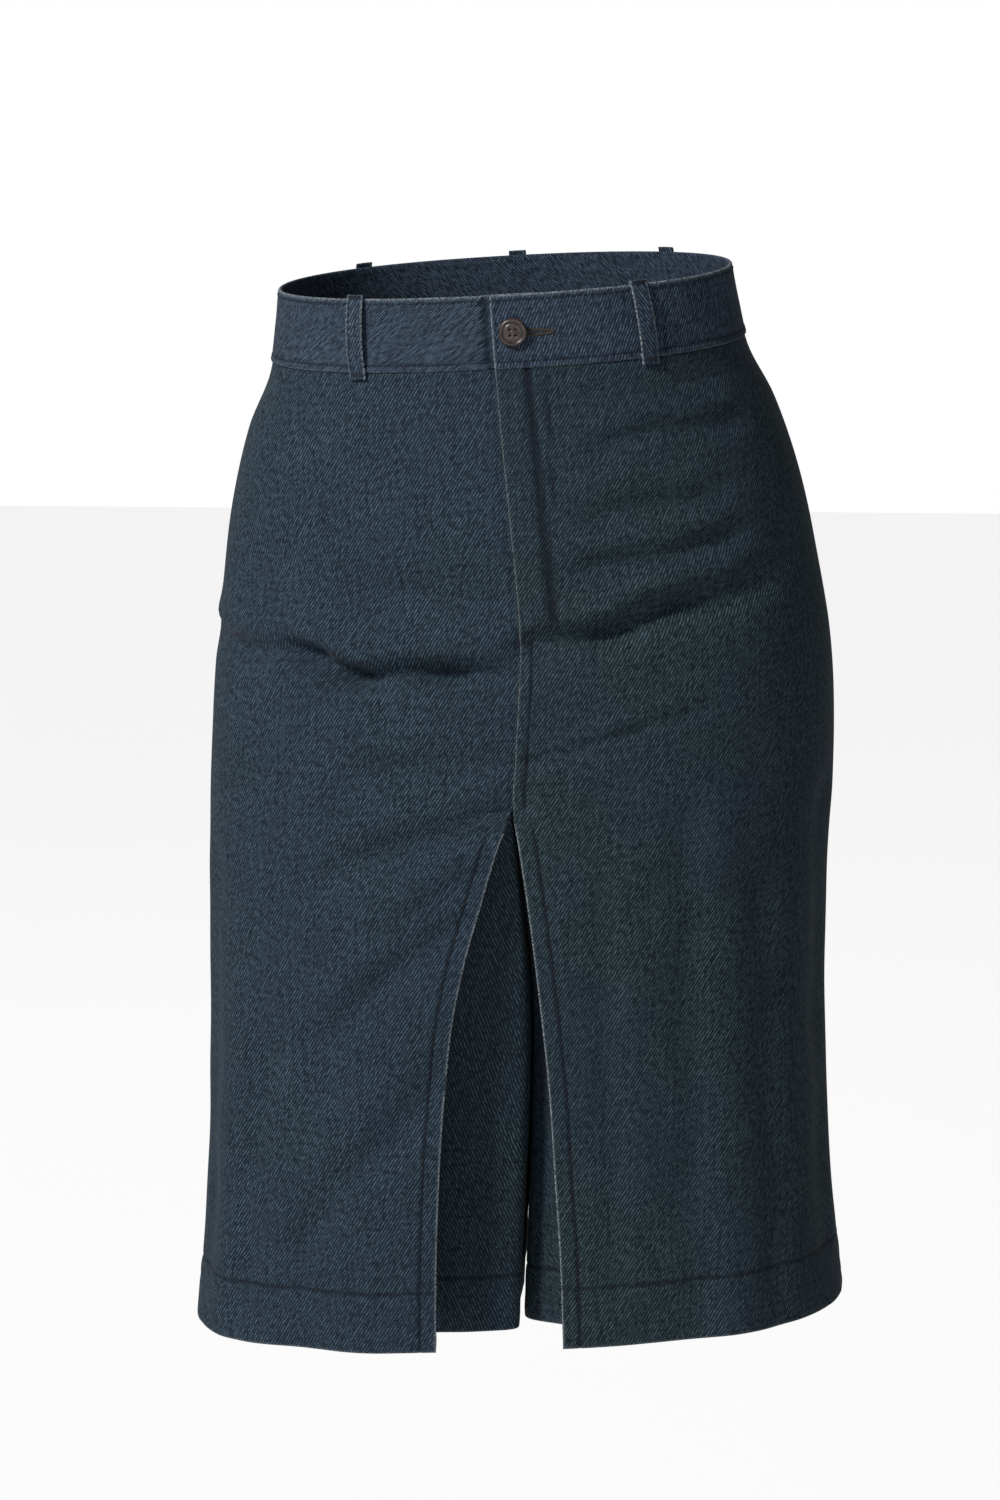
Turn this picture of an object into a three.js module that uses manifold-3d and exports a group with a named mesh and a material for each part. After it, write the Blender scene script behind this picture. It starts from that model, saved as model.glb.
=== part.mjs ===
// Culottes: knee length, denim, worn. Millimetres, +X the wearer's left, -Y the front, +Z up.
// The origin is the middle of the waistband at half its height, where the wearer holds them up.
import * as THREE from "three";
import { mergeVertices } from "three/addons/utils/BufferGeometryUtils.js";
import Module from "manifold-3d";

const manifold = await Module();
manifold.setup();

// Driving sizes
const CLOTH = 1.2;
const HEM_CLOTH = 2.0;
const SEAM_GAP = 0.4;
const BAND_HEIGHT = 42;
const BAND_THICK = 2.6;
const BAND_PROUD = 1.0;
const UNDERLAP = 28;
const CROTCH_LEVEL = -283;
const CROTCH_DROP = 30;
const HEM_LEVEL = -607;
const SIDE_SEAM_DEGREES = 95;
const LAYER_STEP = 2.8;
const LEG_GAP_AT_HEM = 6;
const INSEAM_Y = 6;
const STEP_WIDTH = 7;
const STEP_START_Y = -76;
const STEP_DEPTH = 22;
const BEND_START_Y = 35;
const BEND_DEPTH = 75;
const FLY_END_LEVEL = -186;
const BUTTON_RADIUS = 8.3;
const BUTTON_THICK = 3.4;
const BUTTON_ACROSS = 11.3;
const LOOP_WIDTH = 10.6;
const LOOP_THICK = 1.8;
const SIDE_RISE = Math.tan(THREE.MathUtils.degToRad(3.15));
const WAIST_DIP = 0.085;

const WEARERS_RIGHT = -1;
const WEARERS_LEFT = 1;

const materials = {
  denim: new THREE.MeshStandardMaterial({ color: 0x2e3a42, roughness: 0.9, metalness: 0 }),
  horn: new THREE.MeshStandardMaterial({ color: 0x3c302d, roughness: 0.35, metalness: 0 }),
  buttonholeThread: new THREE.MeshStandardMaterial({ color: 0x2a2723, roughness: 0.8, metalness: 0 }),
};

// The outline round the body: each level's middle, half width, depth before and behind, and squareness.
const girths = [
  { level: 30, middle: -0.5, half: 133, before: 95, behind: 97, square: 2.15 },
  { level: 0, middle: 0.8, half: 137, before: 97, behind: 100, square: 2.15 },
  { level: -30, middle: 2.3, half: 143, before: 100, behind: 106, square: 2.2 },
  { level: -60, middle: 3.8, half: 157, before: 105, behind: 114, square: 2.25 },
  { level: -100, middle: 6, half: 169, before: 111, behind: 125, square: 2.3 },
  { level: -150, middle: 8.6, half: 178, before: 116, behind: 133, square: 2.35 },
  { level: -200, middle: 10.6, half: 185, before: 119, behind: 134, square: 2.4 },
  { level: -260, middle: 10.6, half: 188.5, before: 121, behind: 127, square: 2.45 },
  { level: -320, middle: 8.8, half: 187.5, before: 121, behind: 119, square: 2.5 },
  { level: -380, middle: 7.8, half: 186.8, before: 119, behind: 114, square: 2.5 },
  { level: -440, middle: 7.8, half: 187.5, before: 117, behind: 111, square: 2.5 },
  { level: -500, middle: 8.2, half: 189.6, before: 117, behind: 110, square: 2.5 },
  { level: -550, middle: 8.6, half: 193, before: 118, behind: 111, square: 2.5 },
  { level: -610, middle: 9.2, half: 200, before: 119, behind: 113, square: 2.5 },
];

// The front edges, measured along the cloth from the middle of the front.
const frontEdges = [
  { level: 21, right: -1.5, left: -1.5 },
  { level: -21, right: 0, left: 0 },
  { level: -135, right: 5.8, left: 5.8 },
  { level: -183, right: 7.4, left: 7.4 },
  { level: -252, right: 4.6, left: 4.6 },
  { level: CROTCH_LEVEL, right: 3.2, left: 3.8 },
  { level: -304, right: -4.6, left: 8 },
  { level: -338, right: -13.7, left: 13.8 },
  { level: -372, right: -22.6, left: 18.6 },
  { level: -411, right: -30, left: 23.2 },
  { level: -453, right: -34.6, left: 27.2 },
  { level: -501, right: -37.7, left: 30 },
  { level: -551, right: -39.8, left: 33 },
  { level: -610, right: -40.8, left: 34.6 },
];

// The pleats behind the front edges. Fold: where the return turns into the underlay. Depths are behind the front.
const pleatShapes = [
  { opened: 0, rightFoldX: -15, rightFold: 3, rightEdge: 3, leftFoldX: 41, leftFold: 3, leftMiddle: 3, leftEdge: 3 },
  { opened: 0.25, rightFoldX: -30, rightFold: 14, rightEdge: 20, leftFoldX: 50, leftFold: 13, leftMiddle: 20, leftEdge: 30 },
  { opened: 0.6, rightFoldX: -50, rightFold: 24, rightEdge: 33, leftFoldX: 62, leftFold: 25, leftMiddle: 36, leftEdge: 50 },
  { opened: 1, rightFoldX: -64, rightFold: 33, rightEdge: 39, leftFoldX: 72, leftFold: 34, leftMiddle: 44, leftEdge: 58 },
];

// Where the two legs meet, before and behind.
const legMeeting = [
  { level: CROTCH_LEVEL, before: 13.5, behind: 10.6 },
  { level: -400, before: 23.2, behind: 8 },
  { level: -610, before: 20.6, behind: 9.2 },
];

// Large soft folds pressed into the cloth, given along the cloth (across) and down it (level).
const pressedFolds = [
  { across: -170, level: -186, toAcross: -93, toLevel: -201, width: 13, depth: 3.2 },
  { across: -93, level: -201, toAcross: -12, toLevel: -202, width: 13, depth: 2.4 },
  { across: 9, level: -190, toAcross: 62, toLevel: -182, width: 12, depth: 2.2 },
  { across: 62, level: -182, toAcross: 142, toLevel: -161, width: 13, depth: 2.6 },
  { across: -6, level: -290, toAcross: -95, toLevel: -315, width: 15, depth: 1.6 },
];

// Soft upright waves of the legs, growing towards the hem.
const hemWaves = [
  { across: -82, width: 24, height: 2.4 },
  { across: -128, width: 24, height: -2.6 },
  { across: -176, width: 26, height: 2.6 },
  { across: 96, width: 26, height: -1.8 },
  { across: 148, width: 26, height: 2.2 },
  { across: -350, width: 30, height: 3.2 },
  { across: -415, width: 30, height: -3 },
  { across: -470, width: 26, height: 2.6 },
  { across: 350, width: 30, height: -3 },
  { across: 410, width: 30, height: 3.2 },
  { across: 468, width: 26, height: -2.4 },
];

const rowLevels = [
  -21.35, -36, -54, -76, -100, -126, -150, -170, -188, -202, -216, -235, -258, CROTCH_LEVEL,
  -304, -338, -372, -411, -453, -501, -540, -568, -569, HEM_LEVEL,
];
const CROTCH_ROW = rowLevels.indexOf(CROTCH_LEVEL);
const HEM_ROW = rowLevels.indexOf(-569);

// Belt loops: their distance along the cloth from the middle of the front, or of the back, to the wearer's left.
const beltLoops = [
  { name: "belt_loop_front_right", from: "front", across: -81.5, lean: 0 },
  { name: "belt_loop_front_left", from: "front", across: 87.5, lean: 6 },
  { name: "belt_loop_back_right", from: "back", across: -96, lean: 0 },
  { name: "belt_loop_back_left", from: "back", across: 96, lean: 0 },
  { name: "belt_loop_back_middle", from: "back", across: 0, lean: 0 },
];

function mix(a, b, t) {
  return a + (b - a) * t;
}

function ease(t) {
  const held = Math.min(1, Math.max(0, t));
  return held * held * (3 - 2 * held);
}

// A value read smoothly from a table, by the column that orders its rows.
function readTable(table, order, column, at) {
  const rising = table[0][order] < table[table.length - 1][order];
  const rows = rising ? table : [...table].reverse();
  const last = rows.length - 1;
  const held = Math.min(rows[last][order], Math.max(rows[0][order], at));
  let i = 0;
  while (i < last - 1 && rows[i + 1][order] < held) i += 1;
  const slope = (k) => {
    const a = rows[Math.max(0, k - 1)];
    const b = rows[Math.min(last, k + 1)];
    return (b[column] - a[column]) / (b[order] - a[order]);
  };
  const span = rows[i + 1][order] - rows[i][order];
  const t = (held - rows[i][order]) / span;
  const start = (2 * t ** 3 - 3 * t ** 2 + 1) * rows[i][column];
  const end = (3 * t ** 2 - 2 * t ** 3) * rows[i + 1][column];
  const startSlope = (t ** 3 - 2 * t ** 2 + t) * span * slope(i);
  const endSlope = (t ** 3 - t ** 2) * span * slope(i + 1);
  return start + end + startSlope + endSlope;
}

const ringStore = new Map();
const RING_STEPS = 720;

// The outline at a level as points with their distance along the cloth, nought at the middle of the front.
function ringAt(level) {
  if (ringStore.has(level)) return ringStore.get(level);
  const size = (column) => readTable(girths, "level", column, level);
  const power = 2 / size("square");
  const round = (v) => Math.sign(v) * Math.abs(v) ** power;
  const points = [];
  for (let i = 0; i <= RING_STEPS; i += 1) {
    const angle = (i / RING_STEPS) * 2 * Math.PI - Math.PI;
    const depth = Math.cos(angle) > 0 ? size("before") : size("behind");
    points.push({
      x: size("middle") + size("half") * round(Math.sin(angle)),
      y: -depth * round(Math.cos(angle)),
    });
  }
  const lengths = [0];
  for (let i = 1; i < points.length; i += 1) {
    const step = Math.hypot(points[i].x - points[i - 1].x, points[i].y - points[i - 1].y);
    lengths.push(lengths[i - 1] + step);
  }
  const middle = lengths[RING_STEPS / 2];
  const ring = { points, across: lengths.map((v) => v - middle) };
  ringStore.set(level, ring);
  return ring;
}

function ringPoint(level, across) {
  const ring = ringAt(level);
  const half = ring.across[RING_STEPS];
  if (Math.abs(across) > half) return ringPoint(level, across - 2 * half * Math.sign(across));
  let low = 0;
  let high = RING_STEPS;
  while (high - low > 1) {
    const between = (low + high) >> 1;
    if (ring.across[between] <= across) low = between;
    else high = between;
  }
  const t = (across - ring.across[low]) / (ring.across[high] - ring.across[low]);
  const a = ring.points[low];
  const b = ring.points[high];
  return { x: mix(a.x, b.x, t), y: mix(a.y, b.y, t) };
}

function halfGirth(level) {
  return ringAt(level).across[RING_STEPS];
}

// Distance along the cloth to the side seam.
function sideSeam(level) {
  const i = RING_STEPS / 2 + (RING_STEPS * SIDE_SEAM_DEGREES) / 360;
  return ringAt(level).across[Math.round(i)];
}

// How deep the front lies at a sideways place.
function frontDepth(level, x) {
  const size = (column) => readTable(girths, "level", column, level);
  const reach = Math.min(1, Math.abs(x - size("middle")) / size("half"));
  return -size("before") * (1 - reach ** size("square")) ** (1 / size("square"));
}

// The whole garment sits raised on the wearer's left, with its waist dipped at the front.
function worn(x, y, level) {
  const dip = WAIST_DIP * ease((level + 200) / 180);
  return new THREE.Vector3(x, y, level + SIDE_RISE * x + dip * y);
}

function pressedDepth(level, across) {
  let depth = 0;
  for (const fold of pressedFolds) {
    const runX = fold.toAcross - fold.across;
    const runZ = fold.toLevel - fold.level;
    const length = Math.hypot(runX, runZ);
    const along = ((across - fold.across) * runX + (level - fold.level) * runZ) / length;
    const off = ((across - fold.across) * runZ - (level - fold.level) * runX) / length;
    const end = Math.max(0, -along, along - length);
    depth = Math.max(depth, fold.depth * Math.exp(-((off / fold.width) ** 2) - (end / 14) ** 2));
  }
  return depth;
}

function waveHeight(level, across) {
  const grown = ease((CROTCH_LEVEL - 20 - level) / (CROTCH_LEVEL - 20 - HEM_LEVEL));
  let height = 0;
  for (const wave of hemWaves) {
    height += wave.height * Math.exp(-(((across - wave.across) / wave.width) ** 2));
  }
  return height * grown;
}

// A point on the garment, moved out from its outline.
function onGarment(level, across, out) {
  const here = ringPoint(level, across);
  const before = ringPoint(level, across - 1);
  const after = ringPoint(level, across + 1);
  const run = Math.hypot(after.x - before.x, after.y - before.y);
  const moved = out - pressedDepth(level, across) + waveHeight(level, across);
  const x = here.x + ((after.y - before.y) / run) * moved;
  const y = here.y - ((after.x - before.x) / run) * moved;
  return worn(x, y, level);
}

// The direction out of the cloth at each point of a grid, from the cells round it.
function gridNormals(points, hasCell) {
  return points.map((row, i) => row.map((point, j) => {
    const sum = new THREE.Vector3();
    for (const [a, b] of [[i - 1, j - 1], [i - 1, j], [i, j - 1], [i, j]]) {
      if (!hasCell(a, b)) continue;
      const down = points[a + 1][b + 1].clone().sub(points[a][b]);
      const over = points[a][b + 1].clone().sub(points[a + 1][b]);
      sum.add(down.cross(over).normalize());
    }
    return sum.normalize();
  }));
}

// A closed wall from a grid of points: the cloth's two faces and the edge all round it.
// Rows run down the cloth and columns run to the wearer's left, seen from outside.
function clothWall(name, points, outward, inward, hasCell = () => true) {
  const rows = points.length - 1;
  const columns = points[0].length - 1;
  const cell = (i, j) => i >= 0 && j >= 0 && i < rows && j < columns && hasCell(i, j);
  const normals = gridNormals(points, cell);
  const places = [];
  const faces = [];
  const seen = new Map();
  const vertex = (i, j, side) => {
    const key = `${i},${j},${side}`;
    if (!seen.has(key)) {
      const out = side === "outer" ? outward : -inward(i, j);
      places.push(points[i][j].clone().addScaledVector(normals[i][j], out));
      seen.set(key, places.length - 1);
    }
    return seen.get(key);
  };
  const quad = (a, b, c, d) => faces.push(a, b, c, a, c, d);
  for (let i = 0; i < rows; i += 1) {
    for (let j = 0; j < columns; j += 1) {
      if (!cell(i, j)) continue;
      const corner = (side) => [[i, j], [i + 1, j], [i + 1, j + 1], [i, j + 1]].map(
        ([a, b]) => vertex(a, b, side),
      );
      const outer = corner("outer");
      const inner = corner("inner");
      quad(...outer);
      quad(...[...inner].reverse());
      const beyond = [[i, j - 1], [i + 1, j], [i, j + 1], [i - 1, j]];
      beyond.forEach(([a, b], k) => {
        if (cell(a, b)) return;
        const next = (k + 1) % 4;
        quad(outer[next], outer[k], inner[k], inner[next]);
      });
    }
  }
  return meshOf(name, places, faces);
}

function meshOf(name, places, faces, material = materials.denim) {
  const geometry = new THREE.BufferGeometry();
  const flat = places.flatMap((p) => [p.x, p.y, p.z]);
  geometry.setAttribute("position", new THREE.Float32BufferAttribute(flat, 3));
  geometry.setIndex(faces);
  geometry.computeVertexNormals();
  const mesh = new THREE.Mesh(geometry, material);
  mesh.name = name;
  return mesh;
}

function clothInward(i) {
  return i >= HEM_ROW ? HEM_CLOTH - CLOTH / 2 : CLOTH / 2;
}

// Rows of a piece from its levels, with each row's columns from a list of shares.
function gridFrom(rowCount, columnCount, place) {
  return Array.from({ length: rowCount + 1 }, (_, i) => (
    Array.from({ length: columnCount + 1 }, (__, j) => place(i, j))
  ));
}

const FRONT_COLUMNS = 13;

// A front: from the middle seam and the pleat's edge round to the side seam.
function front(name, side) {
  const column = side === WEARERS_LEFT ? "left" : "right";
  const points = gridFrom(rowLevels.length - 1, FRONT_COLUMNS, (i, j) => {
    const level = rowLevels[i];
    const edge = readTable(frontEdges, "level", column, level) + (side * SEAM_GAP) / 2;
    const seam = side * (sideSeam(level) - SEAM_GAP / 2);
    const share = (side === WEARERS_LEFT ? j : FRONT_COLUMNS - j) / FRONT_COLUMNS;
    return onGarment(level, mix(edge, seam, share), -CLOTH / 2);
  });
  return clothWall(name, points, CLOTH / 2, clothInward);
}

// Half the space between the two legs.
function legSpace(opened) {
  return (SEAM_GAP + LEG_GAP_AT_HEM * opened) / 2;
}

function opening(level) {
  return Math.max(0, (CROTCH_LEVEL - level) / (CROTCH_LEVEL - HEM_LEVEL));
}

// The crotch seam under the body, lowest at its middle.
function crotchLevel(y) {
  const reach = Math.min(1, Math.abs(y - 6) / 118);
  return CROTCH_LEVEL - SEAM_GAP - CROTCH_DROP * (1 - reach ** 2);
}

// A leg's inner side: behind the right underlay it steps to the right, runs straight back, and bends to the
// middle seam near the back.
function innerSide(side, level, y) {
  const opened = opening(level);
  const stepped = STEP_WIDTH * opened * ease((y - STEP_START_Y) / STEP_DEPTH);
  const ahead = readTable(legMeeting, "level", "before", level) - stepped;
  const behind = readTable(legMeeting, "level", "behind", level);
  const meeting = mix(ahead, behind, ease((y - BEND_START_Y) / BEND_DEPTH));
  return meeting + side * (legSpace(opened) + CLOTH / 2);
}

// A level between the crotch seam and the hem, for the row given.
function belowCrotch(i, y) {
  const share = (CROTCH_LEVEL - rowLevels[i]) / (CROTCH_LEVEL - HEM_LEVEL);
  return mix(crotchLevel(y), HEM_LEVEL, share);
}

const BACK_COLUMNS = 12;
const INNER_COLUMNS = 5;

// A back: from the side seam to the middle seam, and below the crotch round the inside of the leg.
function back(name, side) {
  const total = BACK_COLUMNS + INNER_COLUMNS;
  const points = gridFrom(rowLevels.length - 1, total, (i, j) => {
    const k = side === WEARERS_LEFT ? j : total - j;
    const level = rowLevels[i];
    const space = level > CROTCH_LEVEL ? SEAM_GAP / 2 : legSpace(opening(level)) + CLOTH / 2;
    if (k <= BACK_COLUMNS) {
      const seam = side * (sideSeam(level) + SEAM_GAP / 2);
      const middle = side * (halfGirth(level) - space);
      return onGarment(level, mix(seam, middle, k / BACK_COLUMNS), -CLOTH / 2);
    }
    const backY = ringPoint(level, side * (halfGirth(level) - space)).y - CLOTH / 2;
    const share = (k - BACK_COLUMNS) / INNER_COLUMNS;
    const y = mix(backY, INSEAM_Y + SEAM_GAP / 2, share);
    const x = innerSide(side, level, y);
    return worn(x, y, belowCrotch(i, y));
  });
  const kept = (i, j) => {
    const k = side === WEARERS_LEFT ? j : total - 1 - j;
    return k < BACK_COLUMNS || i >= CROTCH_ROW;
  };
  return clothWall(name, points, CLOTH / 2, clothInward, kept);
}

// The pleat of one leg, seen from above: its return behind the front, its underlay and the leg's inner side.
function pleatPath(side, level) {
  const opened = opening(level);
  const sideName = side === WEARERS_LEFT ? "left" : "right";
  const read = (column) => readTable(pleatShapes, "opened", column, opened);
  const edge = ringPoint(level, readTable(frontEdges, "level", sideName, level)).x + side * 0.5;
  const foldX = read(`${sideName}FoldX`);
  const fold = read(`${sideName}Fold`);
  const edgeDepth = read(`${sideName}Edge`) + LAYER_STEP;
  const middleDepth = side === WEARERS_LEFT ? read("leftMiddle") + LAYER_STEP : (fold + edgeDepth) / 2 + 2;
  const cornerX = innerSide(side, level, side === WEARERS_LEFT ? -54 : -80);
  const middleX = mix(foldX, cornerX, 0.55);
  const at = (x, depth) => ({ x, y: frontDepth(level, x) + depth });
  const bend = 2.2;
  const turned = { x: foldX, y: at(foldX, fold).y + LAYER_STEP };
  const corner = at(cornerX, edgeDepth);
  const stops = [
    { from: at(edge, 3), to: at(foldX, fold), steps: 3 },
    { from: at(foldX, fold), to: turned, steps: 1 },
    { from: turned, to: at(middleX, middleDepth), steps: 3 },
    { from: at(middleX, middleDepth), to: { x: corner.x + side * bend, y: corner.y }, steps: 3 },
    { from: { x: corner.x + side * bend, y: corner.y }, to: { x: corner.x, y: corner.y + bend }, steps: 1 },
  ];
  const path = [stops[0].from];
  for (const stop of stops) {
    for (let k = 1; k <= stop.steps; k += 1) {
      const t = k / stop.steps;
      path.push({ x: mix(stop.from.x, stop.to.x, t), y: mix(stop.from.y, stop.to.y, t) });
    }
  }
  const insideSteps = 4;
  const startY = corner.y + bend;
  for (let k = 1; k <= insideSteps; k += 1) {
    const y = mix(startY, INSEAM_Y - SEAM_GAP / 2, k / insideSteps);
    path.push({ x: innerSide(side, level, y), y });
  }
  return path;
}

function pleat(name, side) {
  const levels = rowLevels.slice(CROTCH_ROW);
  const paths = levels.map((level) => pleatPath(side, level));
  const last = paths[0].length - 1;
  const points = gridFrom(levels.length - 1, last, (i, j) => {
    const k = side === WEARERS_LEFT ? last - j : j;
    const place = paths[i][k];
    return worn(place.x, place.y, belowCrotch(CROTCH_ROW + i, place.y));
  });
  return clothWall(name, points, CLOTH / 2, () => CLOTH / 2);
}

// The waistband: from the lapping end on the wearer's left, round the back, to the end that lies under it.
function waistband() {
  const lapEnd = (level) => readTable(frontEdges, "level", "left", level);
  const rise = BAND_PROUD - BAND_THICK / 2;
  const sunk = rise - BAND_THICK - SEAM_GAP - 0.05;
  const round = 40;
  const stationsAt = (level) => {
    const full = 2 * halfGirth(level);
    const end = lapEnd(level);
    const stations = [];
    for (let k = 0; k <= round; k += 1) {
      stations.push({ across: mix(end, end + full - 7, k / round), out: rise });
    }
    stations.push({ across: end + full - 1.6, out: sunk });
    for (const k of [0.33, 0.66, 1]) {
      stations.push({ across: end + full - 1.6 + k * UNDERLAP, out: sunk });
    }
    return stations;
  };
  const levels = [BAND_HEIGHT / 2, 10, 0, -10, -BAND_HEIGHT / 2];
  const points = levels.map((level) => (
    stationsAt(level).map(({ across, out }) => onGarment(level, across, out))
  ));
  return clothWall("waistband", points, BAND_THICK / 2, () => BAND_THICK / 2);
}

// The plain strip behind the fly, which carries its zip.
function flyShield() {
  const levels = [-22, -36, -54, -76, -100, -126, -150, -170, FLY_END_LEVEL];
  const out = -CLOTH - SEAM_GAP - 0.05 - CLOTH / 2;
  const points = levels.map((level) => {
    const seam = readTable(frontEdges, "level", "left", level);
    return [-8, -1, 6, 18, 31].map((past) => onGarment(level, seam + past, out));
  });
  return clothWall("fly_shield", points, CLOTH / 2, () => CLOTH / 2);
}

// A belt loop: a strip held at the band's top and foot, standing off between them.
const loopProfile = [
  { level: 25, out: 2.2 },
  { level: 20, out: 2.25 },
  { level: 13, out: 4.2 },
  { level: 0, out: 4.8 },
  { level: -13, out: 4.2 },
  { level: -20, out: 2.25 },
  { level: -24.5, out: 2.2 },
];

function beltLoop({ name, from, across, lean }) {
  const points = loopProfile.map(({ level, out }) => {
    const start = from === "back" ? halfGirth(level) - across : across;
    const middle = start - (lean * level) / (BAND_HEIGHT + 6);
    return [-0.5, 0, 0.5].map((k) => onGarment(level, middle + k * LOOP_WIDTH, out));
  });
  return clothWall(name, points, LOOP_THICK / 2, () => LOOP_THICK / 2);
}

// Stands a flat piece on the band, facing out, at a distance across and out.
function standOnBand(mesh, across, out) {
  const here = onGarment(0, across, out);
  const outside = onGarment(0, across, out + 10).sub(here).normalize();
  const up = onGarment(8, across, out).sub(onGarment(-8, across, out)).normalize();
  const side = up.clone().cross(outside).normalize();
  const upright = outside.clone().cross(side);
  mesh.position.copy(here);
  mesh.quaternion.setFromRotationMatrix(new THREE.Matrix4().makeBasis(side, upright, outside));
  return mesh;
}

function solidFrom(geometry) {
  const bare = geometry.clone();
  bare.deleteAttribute("normal");
  bare.deleteAttribute("uv");
  const merged = mergeVertices(bare, 1e-4);
  return new manifold.Manifold(new manifold.Mesh({
    numProp: 3,
    vertProperties: merged.attributes.position.array,
    triVerts: new Uint32Array(merged.index.array),
  }));
}

function geometryFrom(solid) {
  const { vertProperties, triVerts } = solid.getMesh();
  const geometry = new THREE.BufferGeometry();
  geometry.setAttribute("position", new THREE.BufferAttribute(vertProperties, 3));
  geometry.setIndex(new THREE.BufferAttribute(triVerts, 1));
  geometry.computeVertexNormals();
  return geometry;
}

// The button: a rim, a groove and a dished middle with four sewing holes.
const buttonProfile = [
  { radius: 0, height: 0 },
  { radius: 7, height: 0 },
  { radius: BUTTON_RADIUS, height: 1 },
  { radius: BUTTON_RADIUS, height: 2.3 },
  { radius: 7.5, height: BUTTON_THICK },
  { radius: 6.4, height: BUTTON_THICK },
  { radius: 5.7, height: 2.7 },
  { radius: 5.2, height: 2.7 },
  { radius: 4.6, height: 3 },
  { radius: 0, height: 2.5 },
];

function button() {
  const profile = buttonProfile.map(({ radius, height }) => new THREE.Vector2(radius, height));
  const disc = new THREE.LatheGeometry(profile, 40).rotateX(Math.PI / 2);
  let solid = solidFrom(disc);
  for (const [x, y] of [[-1.6, -1.6], [1.6, -1.6], [-1.6, 1.6], [1.6, 1.6]]) {
    const drill = new THREE.CylinderGeometry(0.8, 0.8, 12, 12).rotateX(Math.PI / 2).translate(x, y, 0);
    solid = solid.subtract(solidFrom(drill));
  }
  const mesh = new THREE.Mesh(geometryFrom(solid), materials.horn);
  mesh.name = "button";
  return standOnBand(mesh, BUTTON_ACROSS, BAND_PROUD + 1.8);
}

// The sewn ring of the buttonhole, running from under the button away from the lap.
function buttonhole() {
  const half = { long: 12, tall: 2.6 };
  const slit = { long: 9.8, tall: 0.5 };
  const steps = 24;
  const centre = BUTTON_ACROSS + half.long;
  const ring = (size, out) => Array.from({ length: steps + 1 }, (_, k) => {
    const angle = (2 * Math.PI * (k % steps)) / steps;
    const across = centre + size.long * Math.cos(angle);
    return onGarment(size.tall * Math.sin(angle) - 1, across, out);
  });
  const low = BAND_PROUD + 0.35;
  const high = BAND_PROUD + 1;
  const loops = [ring(half, low), ring(half, high), ring(slit, high), ring(slit, low)];
  const places = loops.flatMap((loop) => loop.slice(0, steps));
  const faces = [];
  for (let a = 0; a < loops.length; a += 1) {
    const b = (a + 1) % loops.length;
    for (let k = 0; k < steps; k += 1) {
      const next = (k + 1) % steps;
      faces.push(a * steps + k, a * steps + next, b * steps + next);
      faces.push(a * steps + k, b * steps + next, b * steps + k);
    }
  }
  return meshOf("buttonhole", places, faces, materials.buttonholeThread);
}

const culottes = new THREE.Group();
culottes.name = "culottes";
culottes.add(waistband(), flyShield());
culottes.add(front("front_right", WEARERS_RIGHT), front("front_left", WEARERS_LEFT));
culottes.add(back("back_right", WEARERS_RIGHT), back("back_left", WEARERS_LEFT));
culottes.add(pleat("pleat_right", WEARERS_RIGHT), pleat("pleat_left", WEARERS_LEFT));
culottes.add(...beltLoops.map(beltLoop));
culottes.add(button(), buttonhole());

export default culottes;
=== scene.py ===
"""Culottes: dark denim, knee length, worn, with a front that opens over two pleat underlays.

The shape is worked out in millimetres, in the CAD frame, and written to the meshes in metres.
+X is the wearer's left, -Y the front, +Z up; the origin is the middle of the waistband.
A place on the cloth is (across, level): millimetres along the cloth from the middle of the front,
positive to the wearer's left, and millimetres up from the middle of the waistband.
"""
import math

import bpy
import numpy as np
from mathutils import Matrix, Vector


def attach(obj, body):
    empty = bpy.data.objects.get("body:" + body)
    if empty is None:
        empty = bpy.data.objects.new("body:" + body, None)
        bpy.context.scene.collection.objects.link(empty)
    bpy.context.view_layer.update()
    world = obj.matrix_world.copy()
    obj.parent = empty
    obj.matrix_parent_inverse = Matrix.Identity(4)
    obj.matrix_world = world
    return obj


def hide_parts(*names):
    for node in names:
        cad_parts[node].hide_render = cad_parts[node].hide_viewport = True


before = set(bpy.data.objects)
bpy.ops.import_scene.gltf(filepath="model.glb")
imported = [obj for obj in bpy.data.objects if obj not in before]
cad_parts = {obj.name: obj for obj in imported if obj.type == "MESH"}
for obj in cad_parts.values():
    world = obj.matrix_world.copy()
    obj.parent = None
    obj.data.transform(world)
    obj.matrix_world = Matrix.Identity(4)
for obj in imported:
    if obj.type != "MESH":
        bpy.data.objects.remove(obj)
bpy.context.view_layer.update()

MM = 0.001
CLOTH = 1.2
HEM_CLOTH = 2.0
SEAM = 0.06
BAND_HALF = 21.0
BAND_THICK = 2.6
BAND_PROUD = 1.0
CROTCH_LEVEL = -283.0
CROTCH_DROP = 30.0
HEM_LEVEL = -607.0
HEM_STITCH_LEVEL = -571.0
SIDE_SEAM_DEGREES = 95.0
LAYER_STEP = 2.8
LEG_GAP_AT_HEM = 6.0
INSEAM_Y = 6.0
STEP_WIDTH = 7.0
STEP_START_Y = -76.0
STEP_DEPTH = 22.0
BEND_START_Y = 35.0
BEND_DEPTH = 75.0
BUTTON_ACROSS = 11.3
LOOP_WIDTH = 10.6
SIDE_RISE = math.tan(math.radians(3.15))
WAIST_DIP = 0.085
RIGHT, LEFT = -1, 1

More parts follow.
